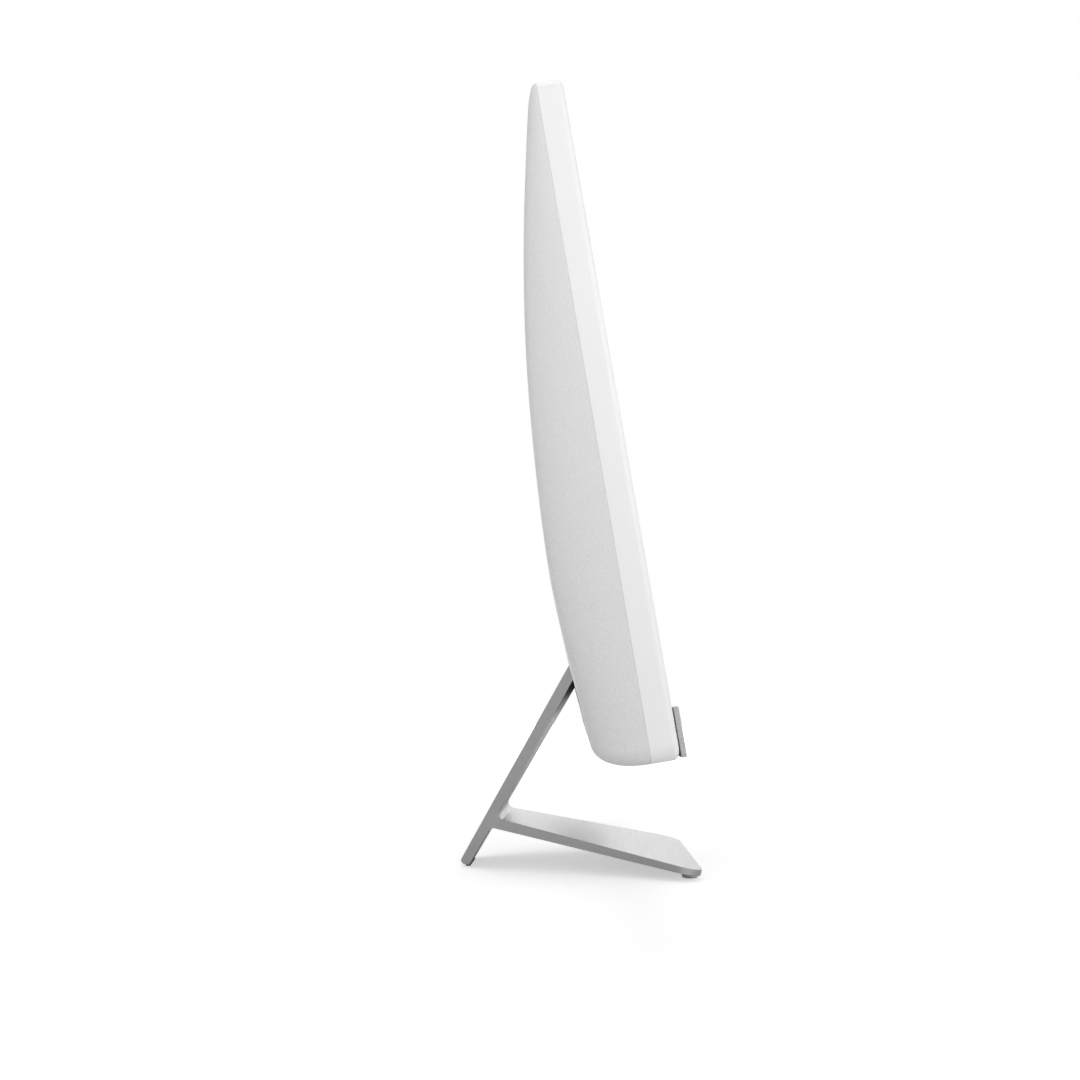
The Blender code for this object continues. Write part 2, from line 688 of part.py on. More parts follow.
def make_chassis(display):
    """Stamped steel plate that carries the board, the hinge and the disk."""
    plate = piece("inner_chassis", box((-236.0, 236.0), (12.7, 13.9), (8.0, 298.0)), "steel",
                  display, display_origin())
    windows = bmesh.new()
    for x, s in (((-225.0, -130.0), (40.0, 118.0)), ((-225.0, -120.0), (215.0, 285.0)),
                 ((110.0, 225.0), (235.0, 285.0)), ((-90.0, 90.0), (250.0, 285.0)),
                 ((-85.0, 85.0), (14.0, 36.0)), ((-8.0, 40.0), (100.0, 150.0))):
        box(x, (12.0, 15.0), s, bm=windows)
    cut(plate, "chassis_windows", windows, display, display_origin())


def make_motherboard(display):
    """L-shaped board: a wide upper part and a leg down to the ports."""
    outline = ((100.0, 14.0), (226.0, 14.0), (226.0, 232.0), (12.0, 232.0), (12.0, 98.0), (100.0, 98.0))
    back = BOARD_FRONT + BOARD_THICKNESS
    board = loft([[(x, n, s) for x, s in outline] for n in (BOARD_FRONT, back)])
    motherboard = piece("motherboard", board, "circuit_board", display, display_origin())
    holes = bmesh.new()
    for centre in ((18.0, 104.0), (18.0, 226.0), (220.0, 226.0), (220.0, 60.0), (106.0, 60.0)):
        ring_points = circle(centre, 1.8, 10)
        loft([[(x, n, s) for x, s in ring_points] for n in (BOARD_FRONT - 1.0, back + 1.0)], bm=holes)
    cut(motherboard, "board_holes", holes, display, display_origin())
    piece("coin_cell", disc((205.0, 150.0), 10.0, (back + GAP, back + 3.5)), "steel", display,
          display_origin())


def make_fins(display):
    """Fin stack in the fan's outlet: a comb standing on a base."""
    left, right = -98.0, -20.0
    low, high = 222.0, 240.0
    base, tip = 24.1, 14.6
    count = 20
    fin = 0.8
    pitch = (right - left - fin) / (count - 1)
    outline = [(right, base), (left, base)]
    for i in range(count):
        x = left + i * pitch
        outline += [(x, tip), (x + fin, tip)]
        if i < count - 1:
            outline += [(x + fin, base - 1.2), (x + pitch, base - 1.2)]
    piece("heat_sink_fins", loft([[(x, n, s) for x, n in outline] for s in (low, high)]), "aluminium",
          display, display_origin())


def make_heat_pipe(display):
    """Copper pipe from the processor's cold plate along the fins."""
    depth = 26.7
    radius = 2.3
    bend = 12.0
    line_s = 231.0
    points = [(70.0, 172.0), (70.0, line_s - bend)]
    for i in range(1, 5):
        angle = math.radians(90 * i / 4)
        points.append((70.0 - bend + bend * math.cos(angle), line_s - bend + bend * math.sin(angle)))
    points.append((-92.0, line_s))
    curve = bpy.data.curves.new("heat_pipe", "CURVE")
    curve.dimensions = "3D"
    curve.bevel_depth = radius * MM
    curve.bevel_resolution = 2
    curve.use_fill_caps = True
    spline = curve.splines.new("POLY")
    spline.points.add(len(points) - 1)
    for knot, (x, s) in zip(spline.points, points):
        knot.co = (x * MM, depth * MM, s * MM, 1.0)
    pipe = bpy.data.objects.new("heat_pipe", curve)
    bpy.context.collection.objects.link(pipe)
    curve.materials.append(make_finish("copper"))
    pipe.parent = display
    pipe.location = Vector(display_origin()) * MM


def make_fan(display):
    """Blower: housing with its round chamber and outlet, spindle, and rotor on its axis."""
    x, s = FAN_CENTRE
    half = 40.0
    outlet = s + half + 3.0
    base, top = 14.6, 26.4
    sheet = 1.1
    chamber = FAN_RADIUS + 2.5
    housing = piece("fan_housing", box((x - half, x + half), (base, top), (s - half, outlet)),
                    "dark_plastic", display, display_origin())
    chamber_n = (base + sheet, top - sheet)
    cut(housing, "fan_chamber", disc(FAN_CENTRE, chamber, chamber_n, 32), display, display_origin())
    mouth = box((x - chamber + 2.0, x + chamber + 3.0), chamber_n, (s + 8.0, outlet + 1.0))
    cut(housing, "fan_outlet", mouth, display, display_origin())
    eye = disc(FAN_CENTRE, FAN_RADIUS - 8.0, (top - sheet - 1.0, top + 1.0), 32)
    cut(housing, "fan_eye", eye, display, display_origin())
    piece("fan_spindle", disc(FAN_CENTRE, SPINDLE_RADIUS, (base + sheet + GAP, FAN_HIGH - 0.6), 16),
          "steel", display, display_origin())
    make_fan_rotor(display)


def make_fan_rotor(display):
    """Hub and swept blades in one piece; the object's origin is on its axis."""
    step = 2 * math.pi / FAN_BLADES
    sweep = 0.45
    outline = []
    for i in range(FAN_BLADES):
        root = i * step
        for radius, turn in ((FAN_HUB_RADIUS, 0.0), (22.0, sweep * 0.4), (FAN_RADIUS, sweep)):
            outline.append((radius * math.cos(root + turn), radius * math.sin(root + turn)))
        for radius, turn in ((FAN_RADIUS, sweep + 0.05), (22.0, sweep * 0.4 + 0.07),
                             (FAN_HUB_RADIUS, 0.14)):
            outline.append((radius * math.cos(root + turn), radius * math.sin(root + turn)))
    depth = (FAN_HIGH - FAN_LOW) / 2
    blades = loft([[(x, n, s) for x, s in outline] for n in (-depth, depth)])
    centre = (FAN_CENTRE[0], (FAN_LOW + FAN_HIGH) / 2, FAN_CENTRE[1])
    rotor = piece("fan_rotor", blades, "dark_plastic", display, display_origin(centre))
    bore = disc((0.0, 0.0), SPINDLE_RADIUS + GAP, (-depth - 1.0, depth + 1.0), 16)
    cut(rotor, "rotor_bore", bore, display, display_origin(centre))


def make_drive_tray(display):
    """Folded tray that holds the hard disk on the chassis."""
    left, right = -223.0, -117.0
    low, high = 130.0, 204.0
    floor = (14.2, 16.5)
    outline = ((left, floor[0]), (right, floor[0]), (right, 24.0), (right - 1.2, 24.0),
               (right - 1.2, floor[1]), (left + 1.2, floor[1]), (left + 1.2, 24.0), (left, 24.0))
    piece("drive_tray", loft([[(x, n, s) for x, n in outline] for s in (low, high)]), "steel", display,
          display_origin())


# ---------------------------------------------------------------- hinge

def make_hinge(display):
    """Base with two ears on the chassis, shaft, friction washers, nuts and screws."""
    axis_n, axis_s = tilt_axis_in_display()
    plate = (14.2, 16.2)
    outer = EAR_INNER + EAR_THICKNESS
    base = piece("hinge_base", box((-outer, outer), plate, (axis_s - 12.0, axis_s + 30.0)), "steel",
                 display, display_origin())
    for name, side in (("ear_left", -1), ("ear_right", 1)):
        x = sorted((side * EAR_INNER, side * outer))
        profile = [(plate[1] - 0.5, axis_s - 9.0)]
        for i in range(9):
            angle = math.radians(-90 + 22.5 * i)
            profile.append((axis_n + 5.0 * math.cos(angle), axis_s + 5.0 * math.sin(angle)))
        profile.append((plate[1] - 0.5, axis_s + 20.0))
        ear = loft([[(px, n, s) for n, s in profile] for px in x])
        cut(base, name, ear, display, display_origin(), operation="UNION")
    bore = rod((axis_n, axis_s), BORE_RADIUS, (-outer - 1.0, outer + 1.0))
    cut(base, "ear_bore", bore, display, display_origin())
    holes = bmesh.new()
    spots = [(x, s) for x in (-60.0, 60.0) for s in (axis_s - 6.0, axis_s + 24.0)]
    for centre in spots:
        ring_points = circle(centre, 1.8, 12)
        loft([[(x, n, s) for x, s in ring_points] for n in (plate[0] - 1.0, plate[1] + 1.0)], bm=holes)
    cut(base, "screw_holes", holes, display, display_origin())
    for number, (x, s) in enumerate(spots, start=1):
        shank = circle((x, s), 1.4, 12)
        head = circle((x, s), 3.0, 12)
        loops = [[(px, n, ps) for px, ps in points] for points, n in
                 ((shank, plate[0]), (shank, plate[1] + GAP), (head, plate[1] + GAP),
                  (head, plate[1] + 2.0))]
        piece(f"hinge_screw_{number}", loft(loops), "steel", display, display_origin())
    centre = (axis_n, axis_s)
    reach = outer + 6.0
    piece("hinge_shaft", rod(centre, SHAFT_RADIUS, (-reach, reach)), "steel", display,
          display_origin(), smooth=30)
    for side, word in ((-1, "left"), (1, "right")):
        washer = sorted((side * (BARREL_HALF_LENGTH + GAP), side * (EAR_INNER - GAP)))
        piece(f"friction_washer_{word}", ring(centre, 4.7, BORE_RADIUS, washer), "steel", display,
              display_origin())
        nut = sorted((side * (outer + GAP), side * (outer + 4.0)))
        piece(f"hinge_nut_{word}", ring(centre, 5.0, BORE_RADIUS, nut, steps=12), "steel", display,
              display_origin())


# ---------------------------------------------------------------- ports, camera and button

def rectangle(centre, size):
    """Four corners (x, s) round a centre."""
    x, s = centre
    half_x, half_s = size[0] / 2, size[1] / 2
    return [(x - half_x, s - half_s), (x + half_x, s - half_s), (x + half_x, s + half_s),
            (x - half_x, s + half_s)]


def socket_body(outer, pocket, tongue, depth):
    """Connector that opens to the back: outer loop, pocket loop and a tongue or pin in it."""
    start = BOARD_FRONT + BOARD_THICKNESS + GAP
    mouth = PORT_FLOOR - 0.2
    loops = [at_depth(outer, start), at_depth(outer, mouth), at_depth(pocket, mouth),
             at_depth(pocket, mouth - depth)]
    if tongue:
        loops += [at_depth(tongue, mouth - depth), at_depth(tongue, mouth - 1.5)]
    return loft(loops)


def port_shapes():
    """Each port: name, outer loop, pocket loop, tongue loop, pocket depth."""
    round_steps = 20
    dc, audio = (108.0, 25.0), (205.0, 25.0)
    hdmi, network = (128.0, 25.0), (149.5, 25.0)
    shapes = [
        ("dc_inlet", circle(dc, 4.4, round_steps), circle(dc, 2.6, round_steps),
         circle(dc, 0.5, round_steps), 9.0),
        ("hdmi_socket", rectangle(hdmi, (15.4, 6.0)), rectangle(hdmi, (14.2, 4.6)),
         rectangle(hdmi, (11.0, 1.2)), 9.0),
        ("network_socket", rectangle(network, (16.0, 14.0)), rectangle(network, (12.0, 9.0)), None, 10.6),
        ("audio_socket", circle(audio, 3.2, round_steps), circle(audio, 1.8, round_steps), None, 10.6),
    ]
    number = 0
    for x in (171.0, 189.0):
        for s in (20.6, 29.4):
            number += 1
            centre = (x, s)
            shapes.append((f"usb_socket_{number}", rectangle(centre, (14.0, 7.0)),
                           rectangle(centre, (12.6, 5.4)), rectangle((x, s + 0.8), (10.6, 1.9)), 9.0))
    return shapes


def grown(loop, centre, amount):
    """Loop pushed out from its centre by about amount."""
    points = []
    for x, s in loop:
        away = Vector((x - centre[0], s - centre[1]))
        push = amount * (away.length + amount) / away.length
        points.append((x + math.copysign(min(push, amount), away.x),
                       s + math.copysign(min(push, amount), away.y)))
    return points


def make_ports(display):
    """Bay let into the rear cover, with the sockets standing on the motherboard behind it."""
    outer_x = ((PORT_BAY["left"] + PORT_BAY["right"]) / 2,
               (PORT_BAY["right"] - PORT_BAY["left"]) / 2 - GAP)
    low, high = PORT_BAY["low"] + GAP, PORT_BAY["high"] - GAP

    def bay_loop(shrink, n):
        half = outer_x[1] - shrink
        middle = ((low + high) / 2, (high - low) / 2 - shrink)
        return at_depth(rectangle((outer_x[0], middle[0]), (2 * half, 2 * middle[1])), n)

    loops = [bay_loop(0.0, PORT_FLOOR - PORT_FLOOR_THICKNESS), bay_loop(0.0, PORT_RIM),
             bay_loop(BAY_WALL, PORT_RIM), bay_loop(BAY_WALL, PORT_FLOOR)]
    bay = piece("port_bay", loft(loops), "dark_plastic", display, display_origin())
    holes = bmesh.new()
    reach = (PORT_FLOOR - PORT_FLOOR_THICKNESS - 1.0, PORT_FLOOR + 1.0)
    for name, outer, pocket, tongue, depth in port_shapes():
        centre = (sum(p[0] for p in outer) / len(outer), sum(p[1] for p in outer) / len(outer))
        wide = grown(outer, centre, GAP)
        loft([at_depth(wide, n) for n in reach], bm=holes)
        finish = "dark_plastic" if name in ("dc_inlet", "audio_socket") else "steel"
        piece(name, socket_body(outer, pocket, tongue, depth), finish, display, display_origin())
    lock = (217.0, 25.0)
    loft([at_depth(rectangle(lock, (3.4, 7.4)), n) for n in reach], bm=holes)
    cut(bay, "port_holes", holes, display, display_origin())
    back = PORT_FLOOR - PORT_FLOOR_THICKNESS - GAP
    rims = [(rectangle(lock, (9.0, 14.0)), back - 2.0), (rectangle(lock, (9.0, 14.0)), back),
            (rectangle(lock, (3.0, 7.0)), back), (rectangle(lock, (3.0, 7.0)), back - 2.0)]
    piece("lock_plate", loft([at_depth(points, n) for points, n in rims], closed=True), "steel",
          display, display_origin())


def make_camera(display):
    """Lens of the webcam in the top bezel."""
    piece("webcam_lens", disc((0.0, LENS_S), LENS_RADIUS, (0.2, 2.9), steps=16), "screen_glass",
          display, display_origin(), smooth=40)


def make_power_button(display):
    """Pill-shaped button in the right side wall; its origin is on its line of travel."""
    outer = WIDTH / 2 - 0.2
    inner = WIDTH / 2 - WALL - 2.2
    bm = pill((inner, outer), 0.0)
    centre = Vector((outer, BUTTON["n"], BUTTON["s"]))
    bmesh.ops.translate(bm, verts=bm.verts, vec=-centre)
    piece("power_button", bm, "white_plastic", display, display_origin(centre), smooth=40)


def main():
    """Build the whole object."""
    clear_scene()
    display = make_display_frame()
    make_stand()
    make_foot_pads()
    make_front_frame(display)
    make_rear_cover(display)
    make_slot_trim(display)
    make_speaker_bar(display)
    make_blocks(display)
    make_backlight_tray(display)
    make_chassis(display)
    make_motherboard(display)
    make_fins(display)
    make_heat_pipe(display)
    make_fan(display)
    make_drive_tray(display)
    make_hinge(display)
    make_ports(display)
    make_camera(display)
    make_power_button(display)


main()
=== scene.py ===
"""Looks of the all in one PC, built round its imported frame.

The display pieces are modelled in the display's own axes, in millimetres: x across, n back from
the front plane, s up the screen. display_to_row() turns them into the row frame, in metres.
"""

import json
import math

import bmesh
import bpy
from mathutils import Matrix, Vector

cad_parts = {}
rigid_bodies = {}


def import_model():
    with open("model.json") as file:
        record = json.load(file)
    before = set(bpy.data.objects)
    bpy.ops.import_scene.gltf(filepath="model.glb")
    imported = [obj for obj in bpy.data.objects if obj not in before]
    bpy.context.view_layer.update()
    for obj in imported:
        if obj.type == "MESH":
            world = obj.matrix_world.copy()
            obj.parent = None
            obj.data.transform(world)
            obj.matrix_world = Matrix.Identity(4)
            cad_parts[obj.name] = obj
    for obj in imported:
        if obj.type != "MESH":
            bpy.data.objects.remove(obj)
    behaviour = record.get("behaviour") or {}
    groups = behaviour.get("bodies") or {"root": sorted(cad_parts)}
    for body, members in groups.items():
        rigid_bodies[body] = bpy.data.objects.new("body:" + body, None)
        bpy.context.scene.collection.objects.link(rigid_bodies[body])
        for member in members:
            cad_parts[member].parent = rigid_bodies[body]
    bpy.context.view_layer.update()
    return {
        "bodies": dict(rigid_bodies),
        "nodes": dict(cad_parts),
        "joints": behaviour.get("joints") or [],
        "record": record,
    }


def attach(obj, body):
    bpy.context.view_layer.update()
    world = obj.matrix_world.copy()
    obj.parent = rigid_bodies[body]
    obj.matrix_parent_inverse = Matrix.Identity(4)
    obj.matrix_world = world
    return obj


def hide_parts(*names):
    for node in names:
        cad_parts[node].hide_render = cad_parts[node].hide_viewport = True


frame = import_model()

MM = 0.001
GAP = 0.3
SEAM = 0.05                    # what is left to see of the joint between cover and frame

# Display
WIDTH = 489.3
HEIGHT = 315.4
LEAN = math.radians(9.19)
FRONT_Y = -43.75
FRONT_Z = 81.66
FRAME_DEPTH = 12.4
CORNER_RADIUS = 7.0
FRONT_ROUND = 3.0
WALL = 2.0
LIP = 1.5
VIEW_WIDTH = 476.6
VIEW_HEIGHT = 268.1
VIEW_LOW = 40.8
COVER_ROUND_POWER = 2.3
COVER_ROUND = {"side": 12.0, "bottom": 12.0, "top": 10.0}
COVER_CORNER_SHRINK = 0.35     # how fast the cover's outline corners tighten with the inset
COVER_CORNER_STEPS = 10
COVER_SIDE_STEPS = 70
COVER_THICKNESS = ((0.0, 23.0), (26.0, 24.7), (61.0, 28.2), (91.0, 29.5), (141.0, 27.9),
                   (191.0, 24.0), (241.0, 17.3), (286.0, 9.2), (315.4, 3.3))
PANEL = {"half_width": 240.5, "low": VIEW_LOW - 1.0, "high": VIEW_LOW + VIEW_HEIGHT + 0.8,
         "front": 1.8, "back": 3.4, "border": 3.4, "corner": 0.8, "chamfer": 0.15}

# Stand
BRACE_LEAN = math.radians(30.0)
BRACE_THICKNESS = 6.6
BRACE_HALF_WIDTH = 35.3
BRACE_FLARE = 0.428            # gain in half width for each millimetre up the brace
BRACE_TOP = 111.0
FOOT_SLOPE = math.radians(12.07)
FOOT_REAR_THICKNESS = 6.65
FOOT_FRONT_THICKNESS = 3.71
FOOT_HALF_WIDTH = 35.73
FOOT_FRONT_HALF_WIDTH = 74.69
FOOT_FRONT_Y = -77.03
FOOT_CORNER_RADIUS = 17.0
KNEE = Vector((52.78, 33.93))  # (y, z) where the foot's top meets the brace's front
KNEE_FILLET = 4.0
LEG_BOTTOM_Z = 1.5
LEG_TIP_ROUND = 2.8
LEG_CORNER_RADIUS = 6.5
PAD_RADIUS = 5.0
PAD_X = 53.0
PAD_Y = -70.3
BARREL_RADIUS = 5.0
BARREL_HALF_LENGTH = 80.0
BORE_RADIUS = 3.35
BARREL_CHAMFER = 0.4
AXIS_ALONG_BRACE = 115.0
STAND_EDGE = 0.45              # small round along the plate's edges
ARC_STEPS = 12

# Openings
SLOT = {"middle": (0.0, 47.35), "size": (168.0, 26.1)}
SLOT_TRIM_WALL = 1.4
OPENING_CORNER = 0.3           # radius in the corners of the slot and the port bay
CUT_DEPTH = 9.0                # how far a cutter reaches into the cover
END_GAP = 0.01                 # keeps the two ends of a round-ended slot apart
PORT_MIDDLE = 25.0
PORT_BAY = {"middle": (162.5, PORT_MIDDLE), "size": (129.0, 24.0)}
PORT_FLOOR = 31.2
SOCKET_START = 19.4
SOCKET_MOUTH = PORT_FLOOR - 0.2
SOCKET_DEPTH = 9.0
SOCKET_STEPS = 40
USB_COLUMNS = (171.0, 189.0)
USB_ROWS = (20.6, 29.4)
HDMI_X = 128.0
NETWORK_X = 149.5
ROUND_SOCKETS = (              # piece, CAD node, x, outer and inner radius, radius of the pin
    ("power_inlet", "dc_inlet", 108.0, 4.4, 2.6, 0.55),
    ("audio_jack", "audio_socket", 205.0, 3.2, 1.8, 0.0),
)
VENT_COUNT = 27
VENT_PITCH = 8.0
VENT_WIDTH = 3.0
VENT_LOW = 262.0
VENT_HIGH = 284.0
INTAKE_ROWS = 6
INTAKE_LOW = 98.0
INTAKE_PITCH = 7.0
INTAKE_HEIGHT = 2.6
INTAKE_HALF_WIDTH = 62.0
INTAKE_BAR = 4.0               # half the bar between the left and the right intake slots
LENS_S = 312.1
LENS_RADIUS = 1.1
LENS_STEPS = 32
BUTTON = {"s": 20.0, "n": 7.0, "length": 14.0, "width": 4.0,
          "recess": 0.2, "depth": 2.2, "round": 0.5, "lamp_up": 4.0}
SPEAKER = {"half_width": 240.0, "low": 0.6, "high": 21.9, "front": -3.1, "corner": 1.3,
           "seat": -0.7, "round": 0.6, "carrier_inset": 0.4}
YARN_PITCH = 0.8

BACK_COLUMNS = [6.0 * i for i in range(-38, 39)]   # where the cover's mesh is cut across
EVEN = (1.0, 1.0, 1.0)         # the same scale on every axis
ROUND_MIDDLE = 0.3             # inset of a small round edge's middle point, as a share of its radius
WAVE_UNIT = 20.0               # radians that a wave texture of scale 1 turns in one metre

# Studio
WORLD_GLOW = (0.21, 0.25)      # strength at the horizon and overhead
FLOOR_COLOUR = (0.80, 0.80, 0.80)
FLOOR_RADIUS = 8.0
FLOOR_FADE = (0.5, 2.2)        # distances over which the floor turns into the white surround
FLOOR_GLOW = 1.8
FLOOR_LIFT = 0.50              # extra brightness where the camera looks at the floor
LIGHTS = (                     # name, place, width and height, power in watts
    ("side_light", (-2.0, -0.8, 0.8), (1.6, 1.6), 11.2),
    ("front_light", (-1.75, -1.9, 1.0), (2.0, 2.0), 20.0),
    ("fill_light", (1.4, -2.1, 1.0), (1.8, 2.0), 9.0),
    ("back_light", (-0.5, 2.2, 1.2), (2.0, 2.0), 14.0),
    ("far_light", (3.4, 0.8, 0.76), (4.0, 1.5), 30.0),
    ("top_light", (0.0, 0.2, 2.6), (1.6, 1.6), 14.0),
)
LIGHT_AIM = Vector((0.0, 0.0, 0.22))
WHITE = (1.0, 1.0, 1.0, 1.0)

# Camera, low at the side
CAMERA_PLACE = (-0.59762, -0.00201, 0.1003)
CAMERA_PITCH = math.radians(7.7)
CAMERA_LENS = 28.2
CAMERA_SENSOR = 36.0
CAMERA_SHIFT = (-0.0372, 0.0556)
CAMERA_RANGE = (0.01, 60.0)


# -------------------------------- mesh helpers

def display_to_row():
    """Matrix from display millimetres (x, n, s) to row-frame metres."""
    place = Matrix.Translation((0.0, FRONT_Y * MM, FRONT_Z * MM))
    return place @ Matrix.Rotation(-LEAN, 4, "X") @ Matrix.Scale(MM, 4)


def new_object(name, bm, matrix):
    """Turn a bmesh into an object at the row frame's origin, its points moved by a matrix."""
    bmesh.ops.recalc_face_normals(bm, faces=bm.faces)
    bm.transform(matrix)
    mesh = bpy.data.meshes.new(name)
    bm.to_mesh(mesh)
    bm.free()
    thing = bpy.data.objects.new(name, mesh)
    bpy.context.scene.collection.objects.link(thing)
    return thing


def apply_modifiers(thing):
    """Replace an object's mesh by the one its modifiers make."""
    graph = bpy.context.evaluated_depsgraph_get()
    mesh = bpy.data.meshes.new_from_object(thing.evaluated_get(graph), depsgraph=graph)
    thing.modifiers.clear()
    thing.data = mesh


def cut_object(name, bm, cutters, matrix):
    """New object with every shape in a list of bmeshes cut out of it, all in millimetres."""
    target = new_object(name, bm, Matrix.Identity(4))
    guides = []
    for number, cutter in enumerate(cutters):
        guide = new_object(f"{name}_cutter_{number}", cutter, Matrix.Identity(4))
        guides.append(guide)
        modifier = target.modifiers.new("cut", "BOOLEAN")
        modifier.operation = "DIFFERENCE"
        modifier.solver = "EXACT"
        modifier.object = guide
    apply_modifiers(target)
    for guide in guides:
        bpy.data.objects.remove(guide)
    target.data.transform(matrix)
    return target


def finish_piece(thing, *materials, angle=35.0):
    """Materials in order, smooth shading with sharp edges kept, normals weighted by face area."""
    for material in materials:
        thing.data.materials.append(material)
    thing.data.shade_smooth()
    thing.data.set_sharp_from_angle(angle=math.radians(angle))
    weighted = thing.modifiers.new("weighted_normals", "WEIGHTED_NORMAL")
    weighted.keep_sharp = True
    weighted.weight = 60


def round_edges(thing, width, segments):
    """Round every sharp edge by a width in millimetres."""
    bevel = thing.modifiers.new("edge_round", "BEVEL")
    bevel.width = width * MM
    bevel.segments = segments
    bevel.limit_method = "ANGLE"
    bevel.angle_limit = math.radians(40.0)
    bevel.miter_outer = "MITER_ARC"


def loft(loops, closed=False, bm=None, material=0):
    """Skin a list of loops of 3-D points, with end faces or joined end to start."""
    bm = bm or bmesh.new()
    rings = [[bm.verts.new(point) for point in loop] for loop in loops]
    count = len(rings[0])
    pairs = list(zip(rings, rings[1:]))
    if closed:
        pairs.append((rings[-1], rings[0]))
    faces = []
    for lower, upper in pairs:
        for i in range(count):
            j = (i + 1) % count
            faces.append(bm.faces.new((lower[i], lower[j], upper[j], upper[i])))
    if not closed:
        faces.append(bm.faces.new(reversed(rings[0])))
        faces.append(bm.faces.new(rings[-1]))
    for face in faces:
        face.material_index = material
    return bm


def box(x, n, s, bm=None, material=0):
    """Block between two values on each axis."""
    corners = ((x[0], s[0]), (x[1], s[0]), (x[1], s[1]), (x[0], s[1]))
    return loft([[(px, depth, ps) for px, ps in corners] for depth in n], bm=bm, material=material)


def circle(centre, radius, steps):
    """Points (a, b) round a circle."""
    turns = [2 * math.pi * i / steps for i in range(steps)]
    return [(centre[0] + radius * math.cos(a), centre[1] + radius * math.sin(a)) for a in turns]


def at_depth(points, n):
    """Give a loop of (x, s) points the same depth."""
    return [(x, n, s) for x, s in points]


def rounded_block(centre, size, radius, steps=4):
    """Loop of (a, b) points round a rectangle with round corners."""
    points = []
    for quarter, (sign_a, sign_b) in enumerate(((1, -1), (1, 1), (-1, 1), (-1, -1))):
        middle_a = centre[0] + sign_a * (size[0] / 2 - radius)
        middle_b = centre[1] + sign_b * (size[1] / 2 - radius)
        for i in range(steps + 1):
            angle = math.radians(-90 + 90 * quarter + 90 * i / steps)
            points.append((middle_a + radius * math.cos(angle), middle_b + radius * math.sin(angle)))
    return points


def rounded_rectangle(half_width, low, high, radius, steps=4):
    """The same loop for a rectangle centred on x = 0."""
    return rounded_block((0.0, (low + high) / 2), (2 * half_width, high - low), radius, steps)


def fillet(corner, towards_a, towards_b, radius):
    """Arc of (y, z) points that rounds a corner between two directions."""
    a = towards_a.normalized()
    b = towards_b.normalized()
    half_angle = a.angle(b) / 2
    centre = corner + (a + b).normalized() * (radius / math.sin(half_angle))
    start = corner + a * (radius / math.tan(half_angle)) - centre
    end = corner + b * (radius / math.tan(half_angle)) - centre
    spokes = [start.slerp(end, i / ARC_STEPS).normalized() for i in range(ARC_STEPS + 1)]
    return [centre + spoke * radius for spoke in spokes]


# -------------------------------- materials

def feed(node, inputs):
    """Set a node's inputs, each to a value or linked to another node's output."""
    for name, value in inputs.items():
        socket = node.inputs[name]
        if isinstance(value, bpy.types.NodeSocket):
            node.id_data.links.new(value, socket)
        else:
            socket.default_value = value
    return node


